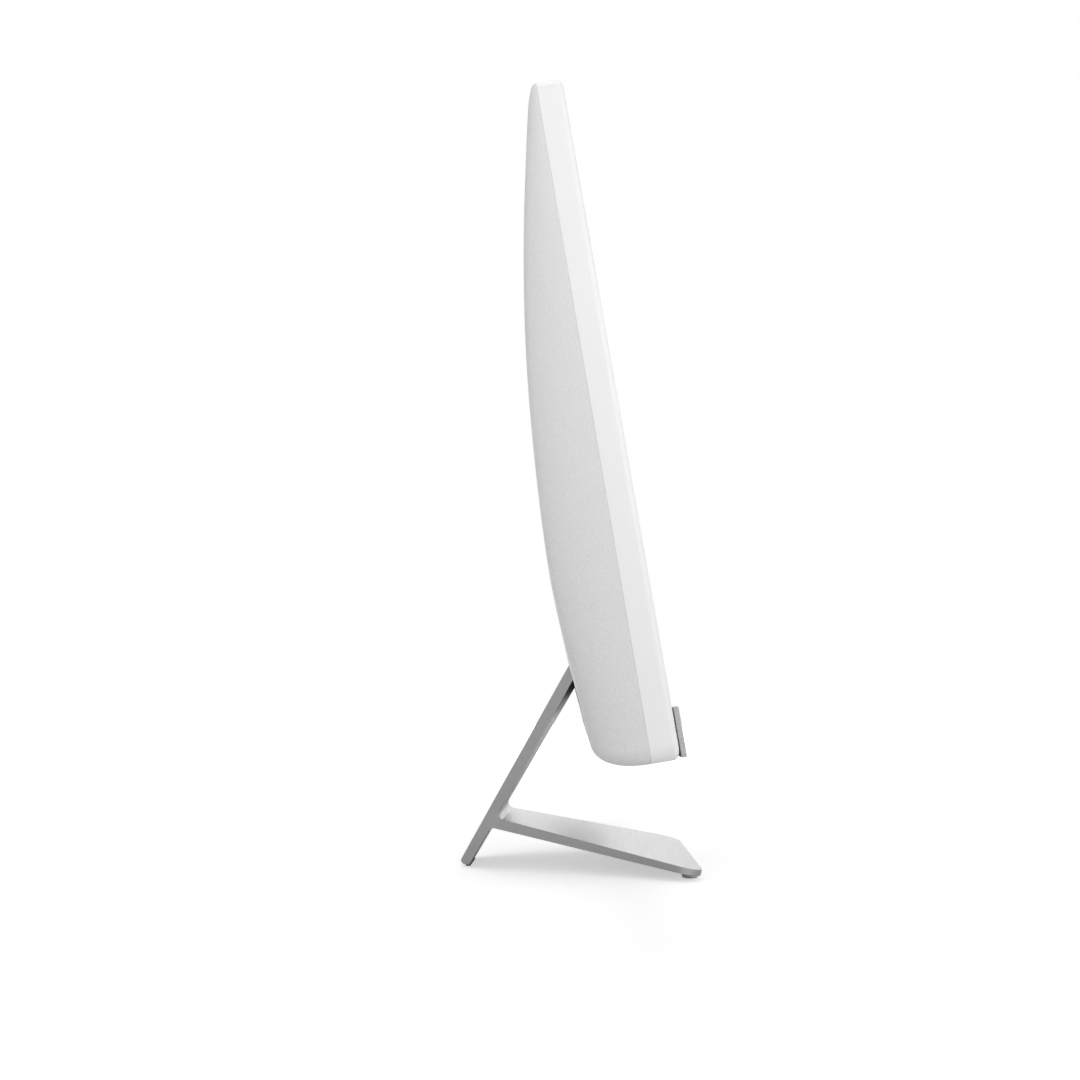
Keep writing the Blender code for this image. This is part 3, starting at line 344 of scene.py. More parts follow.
class Surface:
    """Small helper that builds one procedural material."""

    def __init__(self, name, colour, roughness, metallic=0.0):
        self.material = bpy.data.materials.new(name)
        self.material.use_nodes = True
        self.nodes = self.material.node_tree.nodes
        self.shader = self.nodes["Principled BSDF"]
        self.roughness = roughness
        self.colour = (*colour, 1.0)
        self.normal = None
        feed(self.shader, {"Base Color": self.colour, "Roughness": roughness, "Metallic": metallic})
        self.place = self.nodes.new("ShaderNodeTexCoord").outputs["Object"]

    def set(self, socket, value):
        """A value that is the same all over goes straight on the shader."""
        self.shader.inputs[socket].default_value = value

    def mapped(self, scale=EVEN, turn=0.0):
        """Row-frame place, turned about x and scaled on each axis."""
        node = self.nodes.new("ShaderNodeMapping")
        feed(node, {"Vector": self.place, "Scale": scale, "Rotation": (turn, 0.0, 0.0)})
        return node.outputs["Vector"]

    def noise(self, scale, detail=3.0, stretch=EVEN):
        """Noise texture, scale in cells per metre."""
        node = self.nodes.new("ShaderNodeTexNoise")
        feed(node, {"Vector": self.mapped(stretch), "Scale": scale, "Detail": detail})
        return node.outputs["Fac"]

    def cells(self, scale, feature="F1"):
        """Voronoi texture, scale in cells per metre."""
        node = self.nodes.new("ShaderNodeTexVoronoi")
        node.feature = feature
        feed(node, {"Vector": self.mapped(), "Scale": scale})
        return node.outputs["Distance"]

    def weave(self, pitch, turn):
        """Height of a plain weave in the turned x-z plane, yarns a pitch apart in metres."""
        place = self.mapped(turn=turn)
        yarns = []
        for direction in ("X", "Z"):
            wave = self.nodes.new("ShaderNodeTexWave")
            wave.bands_direction = direction
            feed(wave, {"Vector": place, "Scale": 2 * math.pi / (WAVE_UNIT * pitch)})
            yarns.append(wave.outputs["Fac"])
        flat = self.nodes.new("ShaderNodeVectorMath")
        flat.operation = "MULTIPLY"
        feed(flat, {0: place, 1: (1.0, 0.0, 1.0)})
        crossing = self.nodes.new("ShaderNodeTexChecker")
        feed(crossing, {"Vector": flat.outputs["Vector"], "Scale": 1.0 / pitch})
        pick = self.nodes.new("ShaderNodeMix")
        feed(pick, {"Factor": crossing.outputs["Fac"], "A": yarns[0], "B": yarns[1]})
        return pick.outputs["Result"]

    def remap(self, value, low, high, from_low=0.3, from_high=0.7):
        """Map a texture to a range."""
        node = self.nodes.new("ShaderNodeMapRange")
        feed(node, {"Value": value, "From Min": from_low, "From Max": from_high,
                    "To Min": low, "To Max": high})
        return node.outputs["Result"]

    def vary_roughness(self, texture, amount):
        """Let the roughness drift by amount either way."""
        low, high = self.roughness - amount, self.roughness + amount
        feed(self.shader, {"Roughness": self.remap(texture, low, high)})

    def vary_colour(self, texture, other, from_low=0.3, from_high=0.7):
        """Blend from the colour so far to another by a texture."""
        node = self.nodes.new("ShaderNodeMix")
        node.data_type = "RGBA"
        feed(node, {"Factor": self.remap(texture, 0.0, 1.0, from_low, from_high),
                    "A": self.colour, "B": (*other, 1.0)})
        self.colour = node.outputs["Result"]
        feed(self.shader, {"Base Color": self.colour})

    def bump(self, texture, strength, depth):
        """Add relief of a depth in millimetres."""
        node = self.nodes.new("ShaderNodeBump")
        feed(node, {"Strength": strength, "Distance": depth * MM, "Height": texture})
        if self.normal is not None:
            feed(node, {"Normal": self.normal})
        self.normal = node.outputs["Normal"]
        feed(self.shader, {"Normal": self.normal})


def white_plastic():
    """Satin white moulding."""
    surface = Surface("white_plastic", (0.88, 0.88, 0.88), 0.30)
    surface.vary_colour(surface.noise(6.0), (0.872, 0.872, 0.874), 0.15, 0.85)
    surface.vary_roughness(surface.noise(45.0), 0.02)
    surface.bump(surface.noise(2600.0, 2.0), 0.06, 0.02)
    return surface.material


def cover_plastic():
    """Light grey moulding with a fine spark-eroded grain."""
    surface = Surface("cover_plastic", (0.765, 0.765, 0.765), 0.52)
    surface.vary_colour(surface.noise(900.0, 4.0), (0.715, 0.715, 0.717))
    surface.vary_roughness(surface.noise(30.0), 0.05)
    surface.bump(surface.noise(750.0), 0.90, 0.20)
    surface.bump(surface.cells(1500.0), 0.50, 0.12)
    return surface.material


def stand_metal():
    """Satin anodised aluminium with a very fine brushed grain across the plate."""
    surface = Surface("stand_metal", (0.53, 0.53, 0.535), 0.37, 1.0)
    surface.vary_colour(surface.noise(9.0), (0.515, 0.515, 0.52), 0.15, 0.85)
    surface.vary_roughness(surface.noise(900.0, 3.0, (0.05, 1.0, 1.0)), 0.03)
    surface.bump(surface.noise(4200.0, 2.0, (0.04, 1.0, 1.0)), 0.05, 0.01)
    surface.bump(surface.noise(1600.0, 2.0), 0.10, 0.02)
    return surface.material


def speaker_cloth():
    """Grey plain-woven cloth, its yarns square to the display's edges, with painted shade in the gaps
    between yarns.
    """
    surface = Surface("speaker_cloth", (0.55, 0.55, 0.555), 0.78)
    weave = surface.weave(YARN_PITCH * MM, LEAN)
    # painted shade: the cloth's colour darkens where the weave is low, in the gaps between yarns
    surface.vary_colour(weave, (0.49, 0.49, 0.495), 0.6, 0.1)
    surface.vary_colour(surface.noise(14.0), (0.52, 0.52, 0.525))
    surface.vary_roughness(surface.noise(900.0), 0.05)
    surface.bump(weave, 0.35, 0.10)
    surface.set("Sheen Weight", 0.1)
    surface.set("Sheen Roughness", 0.4)
    return surface.material


def dark_plastic(name="dark_plastic", colour=(0.035, 0.035, 0.037), roughness=0.5):
    """Black moulding with a fine grain."""
    surface = Surface(name, colour, roughness)
    surface.vary_colour(surface.noise(700.0), tuple(1.5 * c for c in colour))
    surface.vary_roughness(surface.noise(60.0), 0.06)
    surface.bump(surface.noise(1500.0), 0.25, 0.05)
    return surface.material


def rubber(name="rubber", colour=(0.10, 0.10, 0.10)):
    """Soft matt rubber."""
    surface = Surface(name, colour, 0.82)
    surface.vary_colour(surface.noise(1200.0, 4.0), tuple(1.35 * c for c in colour))
    surface.vary_roughness(surface.noise(200.0), 0.06)
    surface.bump(surface.noise(1800.0, 4.0), 0.4, 0.06)
    return surface.material


def screen_glass():
    """Switched-off screen: near black, with a satin front."""
    surface = Surface("screen_glass", (0.011, 0.011, 0.013), 0.16)
    surface.vary_colour(surface.noise(3.0), (0.014, 0.014, 0.017))
    surface.vary_roughness(surface.noise(5.0), 0.02)
    surface.bump(surface.noise(3000.0, 2.0), 0.04, 0.01)
    surface.set("Specular IOR Level", 0.4)
    surface.set("Coat Weight", 0.12)
    surface.set("Coat Roughness", 0.12)
    return surface.material


def lens_glass():
    """Dark coated glass of the webcam."""
    surface = Surface("lens_glass", (0.008, 0.008, 0.014), 0.04)
    surface.vary_colour(surface.noise(900.0), (0.02, 0.012, 0.03))
    surface.vary_roughness(surface.noise(500.0), 0.01)
    surface.set("Coat Weight", 1.0)
    surface.set("Coat Roughness", 0.02)
    return surface.material


def metal(name, colour, roughness, grain, stretch=EVEN):
    """Bare metal with a grain of its own."""
    surface = Surface(name, colour, roughness, 1.0)
    surface.vary_colour(surface.noise(25.0), tuple(0.88 * c for c in colour))
    surface.vary_roughness(surface.noise(grain, 3.0, stretch), 0.07)
    surface.bump(surface.noise(grain * 3, 3.0, stretch), 0.15, 0.02)
    return surface.material


def film():
    """Milky sheet of the backlight."""
    surface = Surface("film", (0.86, 0.87, 0.87), 0.42)
    surface.vary_colour(surface.noise(40.0), (0.83, 0.84, 0.85))
    surface.vary_roughness(surface.noise(800.0), 0.04)
    surface.bump(surface.cells(900.0), 0.2, 0.05)
    return surface.material


def circuit_board():
    """Green solder resist over faint copper tracks."""
    surface = Surface("circuit_board", (0.012, 0.085, 0.04), 0.38)
    surface.vary_colour(surface.cells(140.0, "DISTANCE_TO_EDGE"), (0.03, 0.17, 0.07), 0.0, 0.06)
    surface.vary_roughness(surface.noise(120.0), 0.05)
    surface.bump(surface.cells(140.0, "DISTANCE_TO_EDGE"), 0.2, 0.05)
    return surface.material


# -------------------------------- display shells

def smooth_between(table, at):
    """Smooth curve through a short table of (place, value) points."""
    places = [row[0] for row in table]
    values = [row[1] for row in table]
    last = len(table) - 1
    i = max(0, min(last - 1, sum(1 for p in places[1:] if p < at)))

    def slope(k):
        low, high = max(0, k - 1), min(last, k + 1)
        return (values[high] - values[low]) / (places[high] - places[low])

    span = places[i + 1] - places[i]
    t = (at - places[i]) / span
    start, end = values[i], values[i + 1]
    return ((2 * t ** 3 - 3 * t ** 2 + 1) * start + (t ** 3 - 2 * t ** 2 + t) * span * slope(i)
            + (3 * t ** 2 - 2 * t ** 3) * end + (t ** 3 - t ** 2) * span * slope(i + 1))


def cover_back(s):
    """n of the rear cover's outer face at height s, away from its round edges."""
    return FRAME_DEPTH + smooth_between(COVER_THICKNESS, s)


def edge_rise(inset, reach):
    """Share of the full thickness that the round edge has reached at an inset."""
    left = max(0.0, 1.0 - inset / reach)
    return (1.0 - left ** COVER_ROUND_POWER) ** (1.0 / COVER_ROUND_POWER)


def cover_corner(centre, radius, start, reach, next_reach):
    """Quarter turn from an angle in degrees, over which the round edge's reach changes."""
    points = []
    for i in range(COVER_CORNER_STEPS + 1):
        share = i / COVER_CORNER_STEPS
        angle = math.radians(start + 90 * share)
        points.append((centre[0] + radius * math.cos(angle), centre[1] + radius * math.sin(angle),
                       reach + (next_reach - reach) * share))
    return points


def cover_half_loop(inset):
    """Right half of the cover's outline at an inset, as (x, s, round edge's reach)."""
    half_width = WIDTH / 2 - inset
    radius = CORNER_RADIUS - COVER_CORNER_SHRINK * inset
    low, high = inset + radius, HEIGHT - inset - radius
    side, bottom, top = (COVER_ROUND[key] for key in ("side", "bottom", "top"))
    points = cover_corner((half_width - radius, low), radius, 270, bottom, side)
    for i in range(1, COVER_SIDE_STEPS):
        points.append((half_width, low + (high - low) * i / COVER_SIDE_STEPS, side))
    return points + cover_corner((half_width - radius, high), radius, 0, side, top)


def cover_depth(point, inset, inside):
    """n of the cover's outer or inner face at a point (x, s, round edge's reach)."""
    _, s, reach = point
    thickness = cover_back(s) - FRAME_DEPTH
    if not inside:
        return FRAME_DEPTH + thickness * edge_rise(inset, reach)
    hollow = thickness - WALL - SEAM
    return FRAME_DEPTH + SEAM + hollow * edge_rise(inset - WALL, reach - WALL)


def cover_rings(bm, insets, inside):
    """Rings of vertices that step in from the cover's edge, as (right, left, bottom, top) runs."""
    rim = FRAME_DEPTH + SEAM
    rings = []
    for inset in insets:
        half = cover_half_loop(inset)
        depth = [max(rim, cover_depth(point, inset, inside)) for point in half]
        right = [bm.verts.new((point[0], n, point[1])) for point, n in zip(half, depth)]
        left = [bm.verts.new((-point[0], n, point[1])) for point, n in zip(half, depth)]
        bottom, top = ([bm.verts.new((x, depth[end], half[end][1])) for x in BACK_COLUMNS]
                       for end in (0, -1))
        rings.append((right, left, bottom, top))
    return rings


def cover_insets(start, end, steps):
    """Insets that follow the round edge in even turns."""
    reach = end - start
    turns = [math.pi / 2 * i / steps for i in range(steps + 1)]
    return [start + reach * (1 - math.cos(t) ** (2 / COVER_ROUND_POWER)) for t in turns]


def cover_shell():
    """Closed shell: outer face, flat rim against the frame, inner face."""
    bm = bmesh.new()
    reach = COVER_ROUND["side"]
    outer = cover_rings(bm, cover_insets(0.0, reach, 16), False)
    inner = cover_rings(bm, cover_insets(WALL, reach, 8), True)
    rings = outer[::-1] + inner
    loops = [right + top[::-1] + left[::-1] + bottom for right, left, bottom, top in rings]
    for loop, next_loop in zip(loops, loops[1:]):
        count = len(loop)
        for i in range(count):
            j = (i + 1) % count
            bm.faces.new((loop[i], loop[j], next_loop[j], next_loop[i]))
    for right, left, bottom, top in (outer[-1], inner[-1]):
        rows = [[left[0], *bottom, right[0]]]
        for a, b in zip(left[1:-1], right[1:-1]):
            middle = [bm.verts.new((x, a.co.y, a.co.z)) for x in BACK_COLUMNS]
            rows.append([a, *middle, b])
        rows.append([left[-1], *top, right[-1]])
        for row, above in zip(rows, rows[1:]):
            for a, b, c, d in zip(row, row[1:], above[1:], above):
                bm.faces.new((a, b, c, d))
    return bm


def flared_cutter(centre, size, radius, flare=0.35, bm=None):
    """Round-ended cutter through the cover, with a small chamfer that follows its face."""
    loops = []
    for grow, above in ((0.0, -CUT_DEPTH), (0.0, -flare), (flare, 0.0), (flare + 1.0, 1.0)):
        outline = rounded_block(centre, (size[0] + 2 * grow, size[1] + 2 * grow), radius + grow, 5)
        loops.append([(x, cover_back(s) + above, s) for x, s in outline])
    return loft(loops, bm=bm)


def make_rear_cover(finish):
    """Moulded back with its slot, port bay, outlet and intake slots."""
    slot_size = [length + 2 * (SLOT_TRIM_WALL + GAP) for length in SLOT["size"]]
    openings = flared_cutter(SLOT["middle"], slot_size, OPENING_CORNER, 0.2)
    flared_cutter(PORT_BAY["middle"], PORT_BAY["size"], OPENING_CORNER, 0.3, bm=openings)
    vents = bmesh.new()
    vent_middle = (VENT_LOW + VENT_HIGH) / 2
    vent_size = (VENT_WIDTH, VENT_HIGH - VENT_LOW)
    for i in range(VENT_COUNT):
        x = (i - (VENT_COUNT - 1) / 2) * VENT_PITCH
        flared_cutter((x, vent_middle), vent_size, VENT_WIDTH / 2 - END_GAP, bm=vents)
    intakes = bmesh.new()
    intake_size = (INTAKE_HALF_WIDTH - INTAKE_BAR, INTAKE_HEIGHT)
    for i in range(INTAKE_ROWS):
        height = INTAKE_LOW + i * INTAKE_PITCH + INTAKE_HEIGHT / 2
        for side in (-1, 1):
            x = side * (INTAKE_BAR + intake_size[0] / 2)
            flared_cutter((x, height), intake_size, INTAKE_HEIGHT / 2 - END_GAP, bm=intakes)
    cover = cut_object("cover_moulding", cover_shell(), [openings, vents, intakes], display_to_row())
    finish_piece(cover, finish)
    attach(cover, "display")
    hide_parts("rear_cover")


def make_slot_liner(finish):
    """Dark liner of the stand's slot: round rims, flush with the cover."""
    middle, size = SLOT["middle"], SLOT["size"]
    wall = SLOT_TRIM_WALL
    profile = ((wall, -WALL), (wall, -0.5), (wall - 0.15, -0.2), (wall - 0.45, -0.05), (0.45, -0.05),
               (0.15, -0.2), (0.0, -0.5), (0.0, -WALL))
    loops = []
    for grow, above in profile:
        outline = rounded_block(middle, (size[0] + 2 * grow, size[1] + 2 * grow), 0.2 + grow, 3)
        loops.append([(x, cover_back(s) + above, s) for x, s in outline])
    liner = new_object("slot_liner", loft(loops, closed=True), display_to_row())
    finish_piece(liner, finish)
    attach(liner, "display")
    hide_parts("slot_trim")


def pill(x, grow):
    """Round-ended bar along x at the power button's place."""
    radius = BUTTON["width"] / 2 + grow
    reach = BUTTON["length"] / 2 - BUTTON["width"] / 2
    steps = 12
    outline = []
    for end, start in ((1, 0), (-1, 180)):
        for i in range(steps + 1):
            angle = math.radians(start + 180 * i / steps)
            outline.append((BUTTON["n"] + radius * math.cos(angle),
                            BUTTON["s"] + end * reach + radius * math.sin(angle)))
    return [(x, n, s) for n, s in outline]


def make_front_frame(finish):
    """White moulding: side walls, rounded front edge, bezel and chin."""
    half = WIDTH / 2
    corner_steps = 14
    round_steps = 10
    chamfer = 0.12
    view_round = 0.4
    flare = 0.3

    def outline(inset, depth):
        return at_depth(rounded_rectangle(half - inset, inset, HEIGHT - inset, CORNER_RADIUS - inset,
                                          corner_steps), depth)

    def view(grow, depth):
        return at_depth(rounded_rectangle(VIEW_WIDTH / 2 + grow, VIEW_LOW - grow,
                                          VIEW_LOW + VIEW_HEIGHT + grow, 1.0 + grow, corner_steps), depth)

    loops = [outline(chamfer, FRAME_DEPTH), outline(0.0, FRAME_DEPTH - chamfer)]
    for i in range(round_steps + 1):
        angle = math.radians(90 * i / round_steps)
        loops.append(outline(FRONT_ROUND * (1 - math.cos(angle)), FRONT_ROUND * (1 - math.sin(angle))))
    middle = ROUND_MIDDLE * view_round
    loops += [view(view_round, 0.0), view(middle, middle), view(0.0, view_round), view(0.0, LIP)]
    loops += [outline(WALL, LIP), outline(WALL, FRAME_DEPTH)]
    lens_hole = ((0.55, -2.0), (0.55, -0.01), (0.3, 0.25), (0.3, 2.0))
    lens = loft([at_depth(circle((0.0, LENS_S), LENS_RADIUS + grow, LENS_STEPS), n)
                 for grow, n in lens_hole])
    button = loft([pill(half - WALL - 1.0, GAP), pill(half - 0.25, GAP), pill(half + 0.05, GAP + flare),
                   pill(half + 1.0, GAP + flare)])
    frame = cut_object("frame_moulding", loft(loops, closed=True), [lens, button], display_to_row())
    finish_piece(frame, finish)
    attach(frame, "display")
    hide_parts("front_frame")


def make_power_key(finish, light):
    """Power button with a rounded face and a small indicator."""
    outer = WIDTH / 2 - BUTTON["recess"]
    inner = WIDTH / 2 - WALL - BUTTON["depth"]
    edge = BUTTON["round"]
    middle = ROUND_MIDDLE * edge
    loops = [pill(inner, 0.0), pill(outer - edge, 0.0), pill(outer - middle, -middle), pill(outer, -edge)]
    row = display_to_row()
    key = new_object("power_key", loft(loops), row)
    finish_piece(key, finish)
    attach(key, "power_button")
    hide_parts("power_button")
    centre = (BUTTON["n"], BUTTON["s"] + BUTTON["lamp_up"])
    rings = [[(outer + proud, n, s) for n, s in circle(centre, radius, 20)]
             for radius, proud in ((0.45, -0.1), (0.45, 0.02), (0.3, 0.08))]
    lamp = new_object("power_lamp", loft(rings), row)
    finish_piece(lamp, light)
    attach(lamp, "power_button")


def make_speaker_bar(fabric, carrier):
    """Cloth-covered strip along the bottom of the front, on a slightly smaller black carrier."""
    seat, radius, inset = SPEAKER["seat"], SPEAKER["round"], SPEAKER["carrier_inset"]
    round_steps = 5

    def outline(shrink, depth):
        low, high = SPEAKER["low"] + shrink, SPEAKER["high"] - shrink
        half = SPEAKER["half_width"] - shrink
        return at_depth(rounded_rectangle(half, low, high, SPEAKER["corner"] - shrink, 6), depth)

    bm = loft([outline(inset, -GAP), outline(inset, seat + 0.1)], material=1)
    loops = [outline(0.35, seat), outline(0.1, seat - 0.1), outline(0.0, seat - 0.35)]
    for i in range(round_steps + 1):
        angle = math.radians(90 * i / round_steps)
        depth = SPEAKER["front"] + radius * (1 - math.sin(angle))
        loops.append(outline(radius * (1 - math.cos(angle)), depth))
    loft(loops, bm=bm)
    bar = new_object("speaker_housing", bm, display_to_row())
    finish_piece(bar, fabric, carrier, angle=30.0)
    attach(bar, "display")
    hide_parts("speaker_bar")


# -------------------------------- stand

def corner_inset(distance, radius):
    """How far a rounded corner pulls the side in, at a distance from the end."""
    if distance >= radius:
        return 0.0
    return radius - math.sqrt(radius ** 2 - (radius - distance) ** 2)


def brace_direction():
    """Unit (y, z) vector up the brace."""
    return Vector((-math.sin(BRACE_LEAN), math.cos(BRACE_LEAN)))


def brace_point(along, depth):
    """(y, z) of a point on the brace: along it from the knee, depth back from its front face."""
    normal = Vector((math.cos(BRACE_LEAN), math.sin(BRACE_LEAN)))
    return KNEE + brace_direction() * along + normal * depth


def foot_point(along, depth):
    """(y, z) of a point on the foot: along it from the knee, depth below its top."""
    forward = Vector((-math.cos(FOOT_SLOPE), -math.sin(FOOT_SLOPE)))
    below = Vector((math.sin(FOOT_SLOPE), -math.cos(FOOT_SLOPE)))
    return KNEE + forward * along + below * depth


def foot_length():
    """Length of the foot's top from the knee to its front edge."""
    return (KNEE.x - FOOT_FRONT_Y) / math.cos(FOOT_SLOPE)


def foot_thickness(along):
    """The foot gets thinner to the front."""
    share = along / foot_length()
    return FOOT_REAR_THICKNESS + (FOOT_FRONT_THICKNESS - FOOT_REAR_THICKNESS) * share


def foot_half_width(along):
    """The foot flares to the front and ends in round corners."""
    share = along / foot_length()
    straight = FOOT_HALF_WIDTH + (FOOT_FRONT_HALF_WIDTH - FOOT_HALF_WIDTH) * share
    return straight - corner_inset(foot_length() - along, FOOT_CORNER_RADIUS)


def brace_half_width(along):
    """The brace flares upwards; its leg ends in round corners on the desk."""
    leg_end = (LEG_BOTTOM_Z - KNEE.y - BRACE_THICKNESS * math.sin(BRACE_LEAN)) / math.cos(BRACE_LEAN)
    straight = min(BRACE_HALF_WIDTH + BRACE_FLARE * along, BARREL_HALF_LENGTH)
    return straight - corner_inset(max(along - leg_end, 0.0), LEG_CORNER_RADIUS)


def along_brace(point):
    """How far up the brace a (y, z) point lies."""
    return (point - KNEE).dot(brace_direction())


def under_knee():
    """(y, z) where the foot's underside meets the leg's front face."""
    forward = foot_point(1.0, 0.0) - KNEE
    start = foot_point(0.0, FOOT_REAR_THICKNESS)
    up = brace_direction()
    slope = forward.x * up.y - forward.y * up.x
    away = KNEE - start
    share = (away.x * up.y - away.y * up.x) / slope
    return start + forward * share


def stand_outline():
    """Side view of the stand as named runs of (y, z, half width) points."""
    up = brace_direction()
    forward = foot_point(1.0, 0.0) - KNEE
    knee = fillet(KNEE, forward, up, KNEE_FILLET)
    under = fillet(under_knee(), -up, forward, KNEE_FILLET)
    tip_corner = brace_point(0.0, BRACE_THICKNESS)
    tip_corner = tip_corner - up * ((tip_corner.y - LEG_BOTTOM_Z) / up.y)
    tip = fillet(tip_corner, up, Vector((-1.0, 0.0)), LEG_TIP_ROUND)
    leg_front = brace_point((LEG_BOTTOM_Z - KNEE.y) / up.y, 0.0)
    shoulder = (BARREL_HALF_LENGTH - BRACE_HALF_WIDTH) / BRACE_FLARE

    def on_brace(point):
        return (point.x, point.y, brace_half_width(along_brace(point)))

    knee_width = foot_half_width((knee[0] - KNEE).length)
    under_width = foot_half_width(0.0)
    return {
        "knee": [(p.x, p.y, knee_width) for p in knee],
        "brace_front": [on_brace(brace_point(along, 0.0)) for along in (shoulder, BRACE_TOP)],
        "brace_back": [on_brace(brace_point(BRACE_TOP, BRACE_THICKNESS)),
                       on_brace(brace_point(shoulder, BRACE_THICKNESS)),
                       on_brace(brace_point(along_brace(knee[-1]), BRACE_THICKNESS)),
                       on_brace(brace_point(along_brace(under[0]), BRACE_THICKNESS))],
        "tip": [on_brace(p) for p in tip],
        "leg_front": [on_brace(leg_front)],
        "under": [(p.x, p.y, under_width) for p in under],
    }


def stand_shell():
    """Brace, leg and foot as one closed plate-like mesh."""
    runs = stand_outline()
    length = foot_length()
    turns = [math.radians(90 * i / ARC_STEPS) for i in range(ARC_STEPS + 1)]
    foot_top = []
    foot_under = []
    for turn in turns:
        along = length - FOOT_CORNER_RADIUS * (1 - math.sin(turn))
        half_width = foot_half_width(along)
        foot_top.append((*foot_point(along, 0.0), half_width))
        foot_under.append((*foot_point(along, foot_thickness(along)), half_width))
    parts = [foot_top[::-1], runs["knee"], runs["brace_front"], runs["brace_back"], runs["tip"],
             runs["leg_front"], runs["under"], foot_under]
    outline = [point for part in parts for point in part]
    bm = bmesh.new()
    near = {p: bm.verts.new((-p[2], p[0], p[1])) for p in outline}
    far = {p: bm.verts.new((p[2], p[0], p[1])) for p in outline}
    for p, q in zip(outline, outline[1:] + outline[:1]):
        bm.faces.new((near[p], near[q], far[q], far[p]))
    front_shoulder, front_top = runs["brace_front"]
    back_top, back_shoulder, back_knee, back_under = runs["brace_back"]
    panels = [
        [front_shoulder, front_top, back_top, back_shoulder],
        [runs["knee"][-1], front_shoulder, back_shoulder, back_knee],
        [*runs["knee"], back_knee, back_under, *runs["under"]],
        [runs["under"][0], back_under, *runs["tip"], runs["leg_front"][0]],
        [runs["knee"][0], runs["under"][-1], foot_under[0], foot_top[0]],
    ]
    for i in range(ARC_STEPS):
        panels.append([foot_top[i], foot_under[i], foot_under[i + 1], foot_top[i + 1]])
    for panel in panels:
        bm.faces.new([near[p] for p in panel])
        bm.faces.new([far[p] for p in panel])
    return bm


def make_stand(finish):
    """Aluminium plate with small rounded edges, and the barrel on its top edge."""
    metres = Matrix.Scale(MM, 4)
    plate = new_object("stand_plate", stand_shell(), metres)
    round_edges(plate, STAND_EDGE, 3)
    finish_piece(plate, finish)
    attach(plate, "stand")
    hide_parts("stand")
    axis = brace_point(AXIS_ALONG_BRACE, BRACE_THICKNESS / 2)
    half = BARREL_HALF_LENGTH
    end_radius = BARREL_RADIUS - BARREL_CHAMFER
    full = half - BARREL_CHAMFER
    rims = ((BORE_RADIUS, half), (BORE_RADIUS, -half), (end_radius, -half), (BARREL_RADIUS, -full),
            (BARREL_RADIUS, full), (end_radius, half))
    loops = [[(x, y, z) for y, z in circle(axis, radius, 48)] for radius, x in rims]
    barrel = new_object("hinge_barrel", loft(loops, closed=True), metres)
    finish_piece(barrel, finish)
    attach(barrel, "stand")


def foot_underside(y):
    """Height of the foot's underside at y."""
    start = foot_point(0.0, FOOT_REAR_THICKNESS)
    end = foot_point(foot_length(), FOOT_FRONT_THICKNESS)
    share = (y - start.x) / (end.x - start.x)
    return start.y + (end.y - start.y) * share


def make_pads(finish):
    """Rubber pads with a rounded edge and a shallow hollow underneath."""
    metres = Matrix.Scale(MM, 4)
    edge = 0.6
    middle = ROUND_MIDDLE * edge
    for side, word in ((-1, "left"), (1, "right")):
        centre = (side * PAD_X, PAD_Y)
        profile = ((0.0, 0.25), (2.6, 0.25), (2.9, 0.0), (PAD_RADIUS - edge, 0.0),
                   (PAD_RADIUS - middle, middle), (PAD_RADIUS, edge))
        loops = [[(x, y, z) for x, y in circle(centre, max(radius, 0.01), 40)] for radius, z in profile]
        rim = circle(centre, PAD_RADIUS, 40)
        loops.append([(x, y, foot_underside(y) - 0.05) for x, y in rim])
        pad = new_object(f"front_pad_{word}", loft(loops), metres)
        finish_piece(pad, finish)
        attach(pad, "stand")
        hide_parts(f"foot_pad_{word}")


# -------------------------------- screen, camera and ports

def make_screen(active, border):
    """Panel with a black printed border round the part that lights up."""
    front, back, chamfer = PANEL["front"], PANEL["back"], PANEL["chamfer"]

    def outline(inset, depth):
        low, high = PANEL["low"] + inset, PANEL["high"] - inset
        return at_depth(rounded_rectangle(PANEL["half_width"] - inset, low, high, PANEL["corner"]), depth)

    bm = loft([outline(0.0, back), outline(0.0, front + chamfer), outline(chamfer, front),
               outline(PANEL["border"], front)])
    for face in bm.faces:
        is_end = len(face.verts) > 4
        is_active = is_end and face.calc_center_median().y < (front + back) / 2
        face.material_index = 0 if is_active else 1
    screen = new_object("screen_panel", bm, display_to_row())
    finish_piece(screen, active, border)
    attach(screen, "display")
    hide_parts("lcd_panel")


def make_camera_window(glass, ring_finish):
    """Webcam: a dark ring round a domed lens."""
    rings = ((LENS_RADIUS, 2.9, 0), (LENS_RADIUS, 0.35, 0), (0.9, 0.25, 0), (0.8, 0.7, 0),
             (0.55, 0.5, 1), (0.3, 0.4, 1), (0.05, 0.36, 1))
    bm = bmesh.new()
    verts = [[bm.verts.new((x, n, s)) for x, s in circle((0.0, LENS_S), radius, LENS_STEPS)]
             for radius, n, _ in rings]
    for (lower, upper), ring in zip(zip(verts, verts[1:]), rings[1:]):
        for i in range(LENS_STEPS):
            j = (i + 1) % LENS_STEPS
            bm.faces.new((lower[i], lower[j], upper[j], upper[i])).material_index = ring[2]
    bm.faces.new(verts[0])
    bm.faces.new(verts[-1]).material_index = 1
    window = new_object("camera_window", bm, display_to_row())
    finish_piece(window, ring_finish, glass)
    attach(window, "display")
    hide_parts("webcam_lens")


def in_socket(deep, shallow=0.0):
    """Range of n between two depths behind the sockets' mouths."""
    return SOCKET_MOUTH - deep, SOCKET_MOUTH - shallow


def socket_shell(outer, pocket, depth=SOCKET_DEPTH):
    """Connector's shell: closed behind, open to the back."""
    floor, mouth = in_socket(depth)
    return loft([at_depth(outer, SOCKET_START), at_depth(outer, mouth), at_depth(pocket, mouth),
                 at_depth(pocket, floor)])


